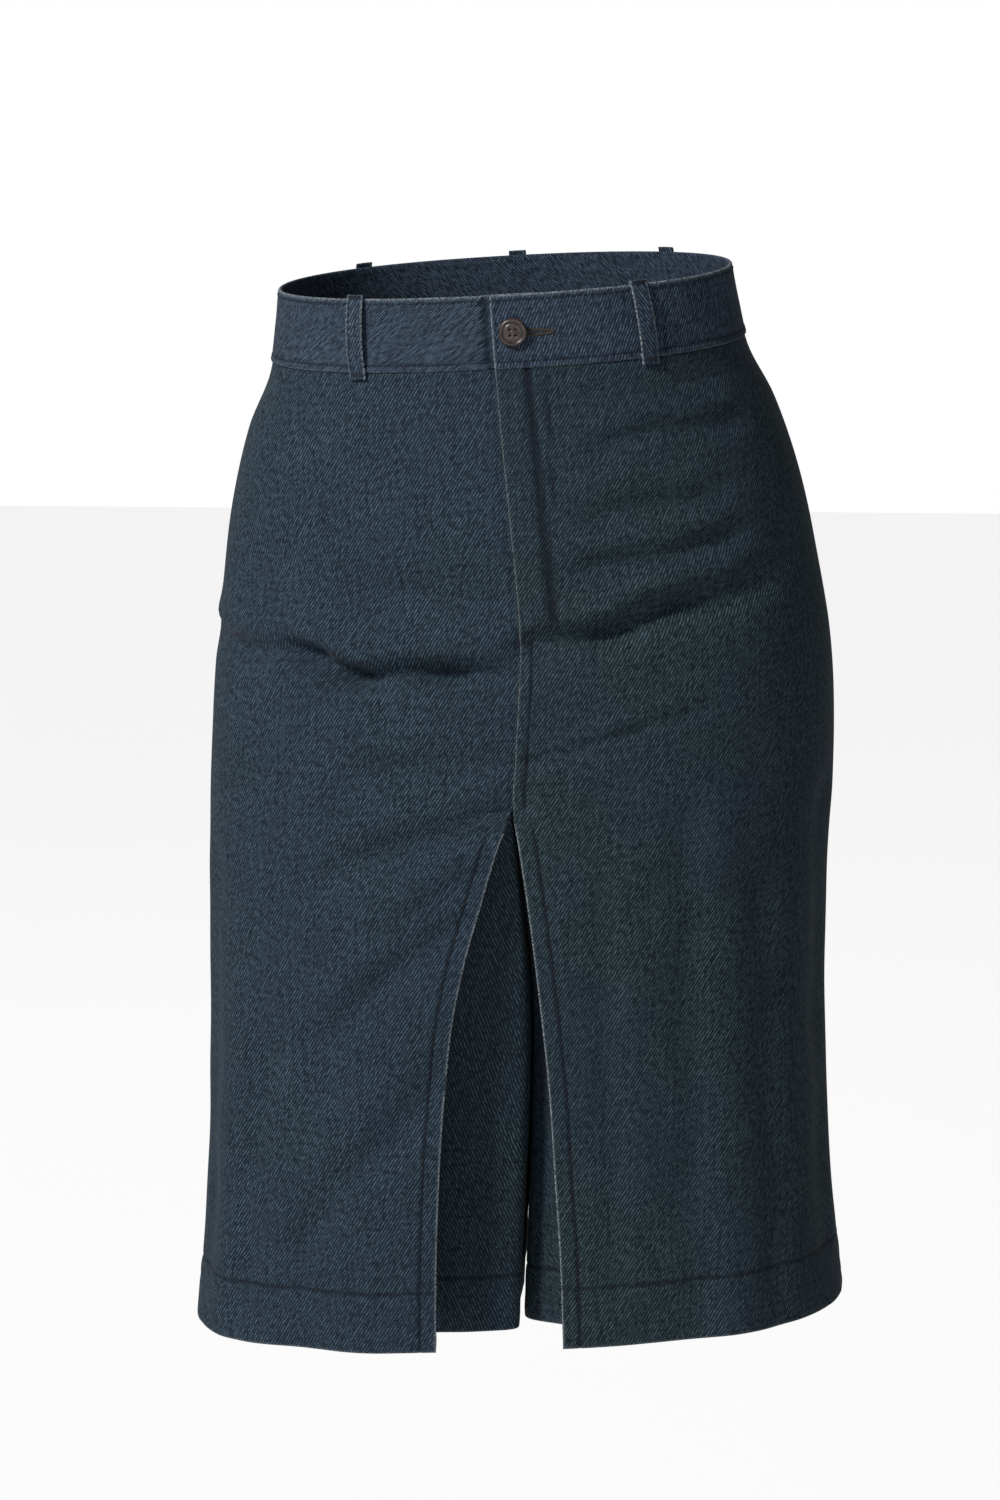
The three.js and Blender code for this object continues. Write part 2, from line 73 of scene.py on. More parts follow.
# The outline round the body by level: middle, half width, depth before and behind, squareness.
GIRTH_COLUMNS = ("level", "middle", "half", "before", "behind", "square")
GIRTHS = (
    (30, -0.5, 133, 95, 97, 2.15),
    (0, 0.8, 137, 97, 100, 2.15),
    (-30, 2.3, 143, 100, 106, 2.2),
    (-60, 3.8, 157, 105, 114, 2.25),
    (-100, 6, 169, 111, 125, 2.3),
    (-150, 8.6, 178, 116, 133, 2.35),
    (-200, 10.6, 185, 119, 134, 2.4),
    (-260, 10.6, 188.5, 121, 127, 2.45),
    (-320, 8.8, 187.5, 121, 119, 2.5),
    (-380, 7.8, 186.8, 119, 114, 2.5),
    (-440, 7.8, 187.5, 117, 111, 2.5),
    (-500, 8.2, 189.6, 117, 110, 2.5),
    (-550, 8.6, 193, 118, 111, 2.5),
    (-610, 9.2, 200, 119, 113, 2.5),
)

# The front edges by level: across on the wearer's right, and on the wearer's left.
EDGE_COLUMNS = ("level", "right", "left")
FRONT_EDGES = (
    (21, -1.5, -1.5),
    (-21, 0, 0),
    (-135, 5.8, 5.8),
    (-183, 7.4, 7.4),
    (-252, 4.6, 4.6),
    (-283, 3.2, 3.8),
    (-304, -3.6, 8),
    (-338, -12.9, 13.8),
    (-372, -22, 18.6),
    (-411, -29.6, 23.2),
    (-453, -34.4, 27.2),
    (-501, -37.7, 30),
    (-551, -39.8, 33),
    (-610, -40.8, 34.6),
)

# The pleats by how far the leg has opened, nought at the crotch and one at the hem.
PLEAT_COLUMNS = ("opened", "right_fold_x", "right_fold", "right_edge", "left_fold_x", "left_fold",
                 "left_middle", "left_edge")
PLEATS = (
    (0, -15, 3, 3, 41, 3, 3, 3),
    (0.25, -30, 14, 20, 50, 13, 20, 30),
    (0.6, -50, 24, 33, 62, 25, 36, 50),
    (1, -64, 33, 39, 72, 34, 44, 58),
)

# Where the legs meet, before and behind, by level.
MEETING_COLUMNS = ("level", "before", "behind")
MEETING = ((-283, 13.5, 10.6), (-400, 23.2, 8), (-610, 20.6, 9.2))

# Creases: from (across, level) to (across, level), half width, depth, and the lift of the cloth above.
CREASES = (
    (-215, -184, -119, -190, 8, 3.2, 1.0),
    (-119, -190, -90, -202, 7, 4.8, 1.6),
    (-90, -203, -36, -200, 8, 4.2, 1.5),
    (-36, -200, -6, -204, 7, 3.0, 0.8),
    (-160, -138, -64, -156, 17, 1.9, 0.3),
    (-64, -156, -14, -158, 13, 1.1, 0.2),
    (10, -190, 59, -182, 8, 2.7, 0.7),
    (59, -182, 101, -170, 9, 3.6, 1.1),
    (101, -170, 150, -160, 11, 2.8, 0.9),
    (56, -143, 132, -133, 9, 2.3, 0.8),
    (61, -112, 115, -105, 9, 1.6, 0.5),
    (66, -68, 140, -62, 7, 1.7, 0.5),
    (36, -38, 128, -37, 4, 0.6, 0.2),
    (17, -254, 74, -240, 4, 1.0, 0.4),
    (74, -240, 104, -233, 5, 0.8, 0.3),
    (-92, -259, -12, -256, 10, 1.4, 0.5),
    (-6, -286, -95, -315, 11, 2.4, 0.7),
    (-20, -322, -70, -352, 8, 1.2, 0.4),
    (-35, -355, -96, -406, 11, 2.0, 0.7),
    (-44, -449, -119, -537, 13, 1.9, 0.7),
    (-150, -430, -168, -585, 12, 1.5, 0.5),
    (-205, -330, -214, -560, 14, 1.4, 0.4),
    (58, -330, 66, -560, 9, 0.9, 0.3),
    (108, -300, 116, -585, 12, 1.2, 0.4),
    (158, -345, 168, -590, 11, 1.1, 0.4),
    (214, -300, 220, -560, 14, 1.2, 0.4),
    (300, -292, 420, -300, 14, 3.0, 1.0),
    (330, -262, 470, -274, 12, 1.7, 0.6),
    (300, -70, 372, -64, 8, 1.3, 0.4),
    (420, -335, 360, -420, 13, 1.8, 0.6),
    (-300, -290, -430, -302, 14, 2.8, 1.0),
    (-320, -258, -460, -272, 12, 1.5, 0.6),
    (-310, -66, -368, -70, 8, 1.2, 0.4),
    (-430, -340, -350, -430, 13, 1.9, 0.6),
)

CREASE_STRENGTH = 2.1

# Soft upright waves of the legs that grow to the hem: across, half width, height.
WAVES = (
    (-82, 24, 2.4), (-128, 24, -2.6), (-176, 26, 2.6), (96, 26, -1.8), (148, 26, 2.2),
    (-350, 30, 3.2), (-415, 30, -3), (-470, 26, 2.6), (350, 30, -3), (410, 30, 3.2), (468, 26, -2.4),
)

# Belt loops: name, distance along the cloth, measured from the middle of the front or back, and lean.
LOOPS = (
    ("belt_loop_front_right", "front", -81.5, 0),
    ("belt_loop_front_left", "front", 87.5, 6),
    ("belt_loop_back_right", "back", -96, 0),
    ("belt_loop_back_left", "back", 96, 0),
    ("belt_loop_back_middle", "back", 0, 0),
)

FLY_LINE = ((29.5, -24), (29.8, -60), (30, -110), (29.6, -150), (26, -166), (18.5, -176), (8, -183))


# ---- Outline ----

def mix(a, b, t):
    return a + (b - a) * t


def ease(t):
    held = np.clip(t, 0, 1)
    return held * held * (3 - 2 * held)


def read_table(table, columns, column, at):
    """A value read smoothly from a table by its first column."""
    rows = np.array(sorted(table), float)
    x = rows[:, 0]
    y = rows[:, columns.index(column)]
    last = len(x) - 1
    low = np.maximum(np.arange(last + 1) - 1, 0)
    high = np.minimum(np.arange(last + 1) + 1, last)
    slope = (y[high] - y[low]) / (x[high] - x[low])
    held = np.clip(at, x[0], x[-1])
    i = np.clip(np.searchsorted(x, held, side="right") - 1, 0, last - 1)
    span = x[i + 1] - x[i]
    t = (held - x[i]) / span
    ends = (2 * t**3 - 3 * t**2 + 1) * y[i] + (3 * t**2 - 2 * t**3) * y[i + 1]
    return ends + (t**3 - 2 * t**2 + t) * span * slope[i] + (t**3 - t**2) * span * slope[i + 1]


def girth(column, level):
    return float(read_table(GIRTHS, GIRTH_COLUMNS, column, level))


def front_edge(side, level):
    return float(read_table(FRONT_EDGES, EDGE_COLUMNS, "left" if side == LEFT else "right", level))


RING_STEPS = 1440
ring_store = {}


def ring_at(level):
    """The outline at a level: distance across, x and y."""
    key = round(level, 4)
    if key not in ring_store:
        angle = np.linspace(-math.pi, math.pi, RING_STEPS + 1)
        power = 2 / girth("square", level)
        sine, cosine = np.sin(angle), np.cos(angle)
        depth = np.where(cosine > 0, girth("before", level), girth("behind", level))
        x = girth("middle", level) + girth("half", level) * np.sign(sine) * np.abs(sine) ** power
        y = -depth * np.sign(cosine) * np.abs(cosine) ** power
        across = np.concatenate([[0], np.cumsum(np.hypot(np.diff(x), np.diff(y)))])
        ring_store[key] = (across - across[RING_STEPS // 2], x, y)
    return ring_store[key]


def half_girth(level):
    return ring_at(level)[0][-1]


def side_seam(level):
    return ring_at(level)[0][RING_STEPS // 2 + round(RING_STEPS * SIDE_SEAM_DEGREES / 360)]


def ring_point(level, across):
    ring, x, y = ring_at(level)
    half = ring[-1]
    wrapped = (np.asarray(across, float) + half) % (2 * half) - half
    return np.interp(wrapped, ring, x), np.interp(wrapped, ring, y)


def front_y(level, x):
    reach = np.clip(np.abs(x - girth("middle", level)) / girth("half", level), 0, 1)
    square = girth("square", level)
    return -girth("before", level) * (1 - reach**square) ** (1 / square)


def worn(x, y, level):
    """The garment sits raised on the wearer's left, with its waist dipped at the front."""
    level = np.asarray(level, float)
    dip = WAIST_DIP * ease((level + 200) / 180)
    return np.stack(np.broadcast_arrays(x, y, level + SIDE_RISE * x + dip * y), -1)


# ---- Relief: folds, layers and seams, as the height of the cloth over its outline ----

def from_line(level, across, start, end):
    """Distance along and off a straight line between two places on the cloth."""
    run_x, run_z = end[0] - start[0], end[1] - start[1]
    length = math.hypot(run_x, run_z)
    along = ((across - start[0]) * run_x + (level - start[1]) * run_z) / length
    off = (-(across - start[0]) * run_z + (level - start[1]) * run_x) / length
    if run_x < 0:
        off = -off
    return along, off, length


def crease_height(level, across):
    height = np.zeros_like(across)
    for a, z, to_a, to_z, width, depth, lift in CREASES:
        along, off, length = from_line(level, across, (a, z), (to_a, to_z))
        end = np.maximum(0, np.maximum(-along, along - length))
        bend = 0.16 * width * np.sin(along / 17 + a)
        fade = np.exp(-((end / (1.1 * width + 6)) ** 2)) * (1 + 0.14 * np.sin(along / 11 + z))
        trough = np.exp(-(((off + bend) / width) ** 2))
        ridge = np.exp(-(((off + bend - 1.7 * width) / (1.1 * width)) ** 2))
        height += CREASE_STRENGTH * fade * (lift * ridge - depth * trough)
    return height


def wave_height(level, across):
    grown = ease((CROTCH_LEVEL - 20 - level) / (CROTCH_LEVEL - 20 - HEM_LEVEL))
    height = np.zeros_like(across)
    for place, width, tall in WAVES:
        height += tall * np.exp(-(((across - place) / width) ** 2))
    return height * grown


def groove(off, width, depth):
    return -depth * np.exp(-((off / width) ** 2))


def seam_height(level, across):
    """Grooves along stitched lines, the fly's ridge and the pucker at its head."""
    height = np.zeros_like(across)
    middle = front_edge(LEFT, level)
    if level > CROTCH_LEVEL:
        under_fly = ease((-178 - level) / 10)
        height += under_fly * groove(across - middle - 7, 1.1, 0.5)
        fly = 1 - ease((-166 - level) / 14)
        height += fly * 0.45 * np.exp(-(((across - middle - 13) / 9) ** 2))
        trough = mix(19, 26, (level + 31) / -121)
        height += fly * groove(across - trough, 2.4, 1.5)
        height += fly * 0.5 * np.exp(-(((across - trough - 4.6) / 2.4) ** 2))
    for start, end in zip(FLY_LINE, FLY_LINE[1:]):
        along, off, length = from_line(level, across, start, end)
        inside = (along >= 0) & (along <= length)
        height += np.where(inside, groove(off, 1.2, 0.45), 0)
    along, off, length = from_line(level, across, (10, -33), (19, -52))
    height += 0.8 * np.exp(-((off / 2.6) ** 2) - ((along - length / 2) / 9) ** 2)
    along, off, length = from_line(level, across, (2, -185), (15, -188))
    height += 0.5 * np.exp(-((off / 2) ** 2) - ((along - length / 2) / 6) ** 2)
    return height


def painted_groove_shade(level, across, stitched):
    """Painted shade: how much darker the cloth is painted in its sewn grooves, from nought to one."""
    hem = groove(level - HEM_STITCH_LEVEL, 1.3, 0.4)
    return np.clip(-(seam_height(level, across) + stitched + hem) / 0.42, 0, 1)


def hem_height(level, across, dense=1.0):
    """The turned hem: a groove at its stitches, a fuller turn and slight roping below them."""
    roping = 0.22 * np.sin(across / 3.4 + level / 3.1) + 0.14 * np.sin(across / 7.3 - level / 5)
    below = ease((HEM_STITCH_LEVEL - level) / 6) * ease((level - HEM_LEVEL) / 8 + 0.3)
    return groove(level - HEM_STITCH_LEVEL, 1.3, 0.5) + dense * below * (0.35 + roping)


def relief(level, across):
    across = np.asarray(across, float)
    soft = 0.25 * np.sin(across / 19 + level / 31) * np.sin(level / 23 - across / 41)
    body = ease((-24 - level) / 18)
    return (body * (crease_height(level, across) + soft) + wave_height(level, across)
            + seam_height(level, across) + hem_height(level, across))


def on_garment(level, across, out):
    """Points on the garment at one level, moved out from its relief."""
    across = np.asarray(across, float)
    x, y = ring_point(level, across)
    before_x, before_y = ring_point(level, across - 0.5)
    after_x, after_y = ring_point(level, across + 0.5)
    run = np.hypot(after_x - before_x, after_y - before_y)
    moved = out + relief(level, across)
    return worn(x + (after_y - before_y) / run * moved, y - (after_x - before_x) / run * moved, level)


def on_band(level, across, out):
    """Points on the waistband, which is smooth apart from a slight wobble."""
    across = np.asarray(across, float)
    x, y = ring_point(level, across)
    before_x, before_y = ring_point(level, across - 0.5)
    after_x, after_y = ring_point(level, across + 0.5)
    run = np.hypot(after_x - before_x, after_y - before_y)
    moved = out + 0.22 * np.sin(across / 23) * np.sin(level / 14 + across / 60)
    return worn(x + (after_y - before_y) / run * moved, y - (after_x - before_x) / run * moved, level)


# ---- Meshes ----

def grid_normals(points, cells):
    """The direction out of the cloth at each point of a grid, from the cells round it."""
    diagonal = points[1:, 1:] - points[:-1, :-1]
    other = points[:-1, 1:] - points[1:, :-1]
    facing = np.cross(diagonal, other) * cells[..., None]
    total = np.zeros_like(points)
    for rows in (slice(0, -1), slice(1, None)):
        for columns in (slice(0, -1), slice(1, None)):
            total[rows, columns] += facing
    length = np.linalg.norm(total, axis=-1, keepdims=True)
    return total / np.maximum(length, 1e-12)


def add_mesh(name, places, faces, material, uv=None, wear_and_painted_shade=None):
    mesh = bpy.data.meshes.new(name)
    mesh.from_pydata((places * MM).tolist(), [], faces)
    mesh.polygons.foreach_set("use_smooth", [True] * len(mesh.polygons))
    loops = np.empty(len(mesh.loops), np.int32)
    mesh.loops.foreach_get("vertex_index", loops)
    if uv is not None:
        layer = mesh.uv_layers.new(name="cloth")
        layer.data.foreach_set("uv", (uv[loops] * MM).astype(np.float32).ravel())
    if wear_and_painted_shade is not None:
        # Red holds real wear on edges and hems; green holds painted shade in the sewn grooves.
        attribute = mesh.color_attributes.new("wear_and_painted_shade", "FLOAT_COLOR", "POINT")
        colour = np.stack([wear_and_painted_shade[:, 0], wear_and_painted_shade[:, 1], np.zeros(len(wear_and_painted_shade)), np.ones(len(wear_and_painted_shade))], -1)
        attribute.data.foreach_set("color", colour.astype(np.float32).ravel())
    mesh.materials.append(material)
    piece = bpy.data.objects.new(name, mesh)
    bpy.context.scene.collection.objects.link(piece)
    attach(piece, "root")
    return piece


def cloth_wall(name, points, outward, inward, uv, wear_and_painted_shade, material, cells=None):
    """A closed wall from a grid: two faces and the edge round them. Rows run down, columns to the left."""
    rows, columns = points.shape[:2]
    cells = np.ones((rows - 1, columns - 1), bool) if cells is None else cells
    normals = grid_normals(points, cells)
    outer = points + normals * outward[..., None]
    inner = points - normals * inward[..., None]
    index = np.arange(rows * columns).reshape(rows, columns)
    corners = np.stack([index[:-1, :-1], index[1:, :-1], index[1:, 1:], index[:-1, 1:]], -1)[cells]
    count = rows * columns
    faces = [corners, corners[:, ::-1] + count]
    padded = np.pad(cells, 1)
    beyond = ((padded[1:-1, :-2], 0), (padded[2:, 1:-1], 1), (padded[1:-1, 2:], 2), (padded[:-2, 1:-1], 3))
    for neighbour, k in beyond:
        edge = np.stack([index[:-1, :-1], index[1:, :-1], index[1:, 1:], index[:-1, 1:]], -1)
        edge = edge[cells & ~neighbour]
        a, b = edge[:, k], edge[:, (k + 1) % 4]
        faces.append(np.stack([b, a, a + count, b + count], -1))
    faces = np.concatenate(faces)
    used, renumbered = np.unique(faces, return_inverse=True)
    places = np.concatenate([outer.reshape(-1, 3), inner.reshape(-1, 3)])[used]
    both_uv = np.concatenate([uv.reshape(-1, 2)] * 2)[used]
    if wear_and_painted_shade.ndim == 2:
        wear_and_painted_shade = np.stack([wear_and_painted_shade, np.zeros_like(wear_and_painted_shade)], -1)
    both_wear_and_painted_shade = np.concatenate([wear_and_painted_shade.reshape(-1, 2), wear_and_painted_shade.reshape(-1, 2) * 0])[used]
    shaped = renumbered.reshape(faces.shape).tolist()
    return add_mesh(name, places, shaped, material, both_uv, both_wear_and_painted_shade)


def rounded(distance, radius):
    """One inside the cloth, falling to nought round its edge."""
    reach = np.clip(distance / radius, 0, 1)
    return np.sqrt(np.maximum(1 - (1 - reach) ** 2, 0.0016))


EDGE_STEPS = (
    0, 0.08, 0.22, 0.42, 0.7, 1.05, 1.5, 2.1, 2.9, 3.8, 4.8,
    5.8, 6.6, 7.4, 8.3, 9, 9.7, 10.4, 11.2, 12.2, 13.4, 15,
)
SIDE_STEPS = (0, 0.1, 0.3, 0.6, 1, 1.6, 2.6)


def spread(width, start_steps, end_steps, middle):
    """Distances over a width: set steps at each end and even ones between."""
    start = np.array(start_steps, float)
    end = width - np.array(end_steps, float)[::-1]
    between = np.linspace(start[-1], end[0], middle + 2)[1:-1]
    return np.concatenate([start, between, end])


def row_levels():
    top = -BAND_HALF - 0.1
    parts = [
        top - np.array([0, 0.1, 0.3, 0.7, 1.3, 2.2]),
        np.arange(-26, CROTCH_LEVEL + 2, -3.1),
        np.array([CROTCH_LEVEL]),
        np.arange(CROTCH_LEVEL - 3, -561, -3.4),
        np.arange(-562, -581, -0.9),
        np.arange(-583, HEM_LEVEL + 3, -2.6),
        HEM_LEVEL + np.array([2.4, 1.6, 1.0, 0.6, 0.3, 0.1, 0]),
    ]
    return np.concatenate(parts)


LEVELS = row_levels()
CROTCH_ROW = int(np.argmin(np.abs(LEVELS - CROTCH_LEVEL)))


def wall_halves(level, distance_to_edges):
    """Half thickness outward and inward over a row."""
    edge = rounded(distance_to_edges, 0.7)
    hem = rounded(level - HEM_LEVEL, 0.9)
    top = rounded(-BAND_HALF - 0.1 - level, 0.7)
    full = edge * hem * top
    inward = mix(CLOTH / 2, HEM_CLOTH - CLOTH / 2, ease((HEM_STITCH_LEVEL - level) / 2 + 1))
    return full * CLOTH / 2, full * inward


def lap_height(side, level, distance):
    """The wearer's left front lies over the right one, down to the opening."""
    if level < CROTCH_LEVEL - 12:
        return np.zeros_like(distance)
    held = float(ease((level - CROTCH_LEVEL + 12) / 12))
    if side == LEFT:
        return held * 0.55 * np.exp(-((distance / 7) ** 2))
    return -held * 0.75 * np.exp(-((distance / 3.2) ** 2))


def front_panel(name, side, material):
    points, outs, ins, uvs, wear_and_painted_shade_rows = [], [], [], [], []
    for level in LEVELS:
        edge = front_edge(side, level) + side * SEAM
        width = abs(side * (side_seam(level) - SEAM) - edge)
        distance = spread(width, EDGE_STEPS, SIDE_STEPS, 74)
        across = edge + side * distance
        opened = float(ease((CROTCH_LEVEL - level) / 14))
        stitched = opened * groove(distance - 10, 1.1, 0.5)
        out = -CLOTH / 2 + lap_height(side, level, distance) + stitched
        half_out, half_in = wall_halves(level, np.minimum(distance, width - distance))
        points.append(on_garment(level, across, out))
        outs.append(half_out)
        ins.append(half_in)
        uvs.append(np.stack([across, np.full_like(across, level)], -1))
        folded = mix(0.42, 1.0, opened) if side == LEFT else mix(0.2, 1.0, opened)
        hem = 0.55 * np.exp(-((level - HEM_LEVEL) / 0.9) ** 2)
        rubbed = np.maximum(folded * np.exp(-((distance / 0.75) ** 2)), hem)
        # Channel one: real wear on the fold and hem; channel two: painted shade in the sewn grooves.
        wear_and_painted_shade_rows.append(np.stack([rubbed, painted_groove_shade(level, across, stitched)], -1))
    grids = [np.array(part) for part in (points, outs, ins, uvs, wear_and_painted_shade_rows)]
    if side == RIGHT:
        grids = [part[:, ::-1] for part in grids]
    return cloth_wall(name, *grids, material)


def opening(level):
    return np.clip((CROTCH_LEVEL - level) / (CROTCH_LEVEL - HEM_LEVEL), 0, 1)


def leg_space(level):
    return (2 * SEAM + LEG_GAP_AT_HEM * opening(level)) / 2


def crotch_level(y):
    reach = np.clip(np.abs(y - 6) / 118, 0, 1)
    return CROTCH_LEVEL - 0.3 - CROTCH_DROP * (1 - reach**2)


def inner_side(side, level, y):
    """A leg's inner side: it steps right behind the right underlay, then runs back to the middle seam."""
    stepped = STEP_WIDTH * opening(level) * ease((y - STEP_START_Y) / STEP_DEPTH)
    ahead = read_table(MEETING, MEETING_COLUMNS, "before", level) - stepped
    behind = read_table(MEETING, MEETING_COLUMNS, "behind", level)
    meeting = mix(ahead, behind, ease((y - BEND_START_Y) / BEND_DEPTH))
    swell = 1.3 * opening(level) * np.sin(y / 19 + level / 140)
    return meeting + side * (leg_space(level) + CLOTH / 2 + np.maximum(swell * side, -0.4))


def below_crotch(level, y):
    share = (CROTCH_LEVEL - level) / (CROTCH_LEVEL - HEM_LEVEL)
    return mix(crotch_level(y), HEM_LEVEL, share)


FAR_FROM_SEAM = 9.0


def back_panel(name, side, material):
    inner_steps = 34
    points, outs, ins, uvs, wear_and_painted_shade_rows, cells = [], [], [], [], [], []
    for row, level in enumerate(LEVELS):
        below = row >= CROTCH_ROW
        space = leg_space(level) + CLOTH / 2 if below else SEAM
        seam = side_seam(level) + SEAM
        width = half_girth(level) - space - seam
        distance = spread(width, SIDE_STEPS, EDGE_STEPS, 66)
        across = side * (seam + distance)
        stitched = groove(width - distance - 6.5, 1.1, 0.35 * float(level > CROTCH_LEVEL))
        dart = back_dart(level, width - distance)
        ring = on_garment(level, across, -CLOTH / 2 + stitched + dart)
        back_y = float(ring_point(level, across[-1])[1]) - CLOTH / 2
        y = np.linspace(back_y, INSEAM_Y + SEAM, inner_steps + 1)[1:]
        inner = worn(inner_side(side, level, y), y, below_crotch(level, y))
        points.append(np.concatenate([ring, inner]))
        to_edge = np.concatenate([distance, width + back_y - y])
        seam_end = np.full_like(distance, FAR_FROM_SEAM) if below else width - distance
        end = np.concatenate([seam_end, y - INSEAM_Y - SEAM])
        half_out, half_in = wall_halves(level, np.minimum(to_edge, end))
        if below:
            top = rounded(np.full_like(y, CROTCH_LEVEL - level), 0.7)
            half_out[-inner_steps:] *= top
            half_in[-inner_steps:] *= top
        outs.append(half_out)
        ins.append(half_in)
        uvs.append(np.stack([side * (seam + to_edge), np.full_like(to_edge, level)], -1))
        seam_wear = 0.5 * np.exp(-(((width - to_edge) / 0.8) ** 2)) * (not below)
        hem = 0.55 * np.exp(-((level - HEM_LEVEL) / 0.9) ** 2)
        rubbed = np.maximum(seam_wear, hem)
        # Painted shade in the sewn grooves and the dart, beside real wear on the seam and hem.
        sewn = painted_groove_shade(level, side * (seam + to_edge), np.pad(stitched + dart, (0, inner_steps)))
        wear_and_painted_shade_rows.append(np.stack([rubbed, sewn], -1))
        cells.append(np.arange(len(to_edge) - 1) < (len(to_edge) - 1 if below else len(distance) - 1))
    grids = [np.array(part) for part in (points, outs, ins, uvs, wear_and_painted_shade_rows)]
    kept = np.array(cells[:-1])
    if side == RIGHT:
        grids = [part[:, ::-1] for part in grids]
        kept = kept[:, ::-1]
    return cloth_wall(name, *grids, material, kept)


DART_FROM_MIDDLE = 98
DART_END_LEVEL = -128


def back_dart(level, from_middle):
    fade = float(ease((level - DART_END_LEVEL) / 14))
    line = mix(DART_FROM_MIDDLE - 6, DART_FROM_MIDDLE, (level - DART_END_LEVEL) / 107)
    ridge = 0.3 * np.exp(-(((from_middle - line - 3) / 3) ** 2))
    return fade * (groove(from_middle - line, 1.0, 0.8) + ridge)


# ---- Pleats ----

LEFT_CORNER_Y = -54
RIGHT_CORNER_Y = -80


def pleat_path(side, level):
    """A pleat seen from above: its return behind the front, its underlay and the leg's inner side."""
    opened = float(opening(level))
    name = "left" if side == LEFT else "right"

    def read(column):
        return float(read_table(PLEATS, PLEAT_COLUMNS, f"{name}_{column}", opened))

    edge = float(ring_point(level, front_edge(side, level))[0]) + side * 0.25
    fold_x, fold = read("fold_x"), read("fold")
    edge_depth = read("edge") + LAYER_STEP
    middle_depth = read("middle") + LAYER_STEP if side == LEFT else (fold + edge_depth) / 2 + 2
    corner_x = float(inner_side(side, level, LEFT_CORNER_Y if side == LEFT else RIGHT_CORNER_Y))
    middle_x = mix(fold_x, corner_x, 0.55)
    bend = mix(1.6, 5, opened)

    def at(x, depth):
        return np.array([x, float(front_y(level, x)) + depth])

    turned = at(fold_x, fold) + (0, LAYER_STEP)
    corner = at(corner_x, edge_depth)
    stops = [(at(edge, 2.4), at(fold_x, fold), 26), (at(fold_x, fold), turned, 4),
             (turned, at(middle_x, middle_depth), 22),
             (at(middle_x, middle_depth), corner + (side * bend, 0), 22),
             (corner + (side * bend, 0), corner + (0, bend), 5)]
    path = [stops[0][0]]
    for start, end, steps in stops:
        path += [mix(start, end, k / steps) for k in range(1, steps + 1)]
    start_y = corner[1] + bend
    for y in np.linspace(start_y, INSEAM_Y - SEAM, 27)[1:]:
        path.append(np.array([float(inner_side(side, level, y)), y]))
    return np.array(path)


def softened(path, passes):
    """The path with its corners eased, its two ends held."""
    eased = path.copy()
    for _ in range(passes):
        eased[1:-1] = 0.25 * eased[:-2] + 0.5 * eased[1:-1] + 0.25 * eased[2:]
    return eased


def pleat(name, side, material):
    points, outs, ins, uvs, wear_and_painted_shade_rows = [], [], [], [], []
    for level in LEVELS[CROTCH_ROW:]:
        path = softened(pleat_path(side, level), 3 + round(7 * float(opening(level))))
        step = np.linalg.norm(np.diff(path, axis=0), axis=1)
        length = np.concatenate([[0], np.cumsum(step)])
        tangent = np.gradient(path, axis=0)
        tangent /= np.linalg.norm(tangent, axis=1, keepdims=True)
        outside = np.stack([tangent[:, 1], -tangent[:, 0]], -1) * -side
        rippled = np.exp(-(((length - 75) / 45) ** 2))
        ripple = 1.1 * float(opening(level)) * np.sin(length / 13 + level / 90) * rippled
        path = path + outside * (ripple + hem_height(level, length, 0.6))[:, None]
        drop = below_crotch(level, path[:, 1])
        points.append(worn(path[:, 0], path[:, 1], drop))
        ends = np.minimum(length, length[-1] - length)
        half_out, half_in = wall_halves(level, ends)
        top = rounded(np.array(CROTCH_LEVEL - level), 0.7)
        outs.append(half_out * top)
        ins.append(np.minimum(half_in, CLOTH / 2) * top)
        uvs.append(np.stack([side * length, np.full_like(length, level)], -1))
        rubbed = 0.4 * np.exp(-((level - HEM_LEVEL) / 0.9) ** 2) * np.ones_like(length)
        # Painted shade along the groove of the hem's stitches.
        sewn = np.full_like(length, -groove(level - HEM_STITCH_LEVEL, 1.3, 0.9))
        wear_and_painted_shade_rows.append(np.stack([rubbed, sewn], -1))
    grids = [np.array(part) for part in (points, outs, ins, uvs, wear_and_painted_shade_rows)]
    if side == LEFT:
        grids = [part[:, ::-1] for part in grids]
    return cloth_wall(name, *grids, material)


# ---- Waistband, fly strip and belt loops ----

def band_rows():
    rolled = np.array([0, 0.12, 0.35, 0.7, 1.1, 1.6, 2.2, 3, 3.8, 4.8])
    return np.concatenate([BAND_HALF - rolled, np.linspace(15, -13, 17), -BAND_HALF + rolled[::-1]])


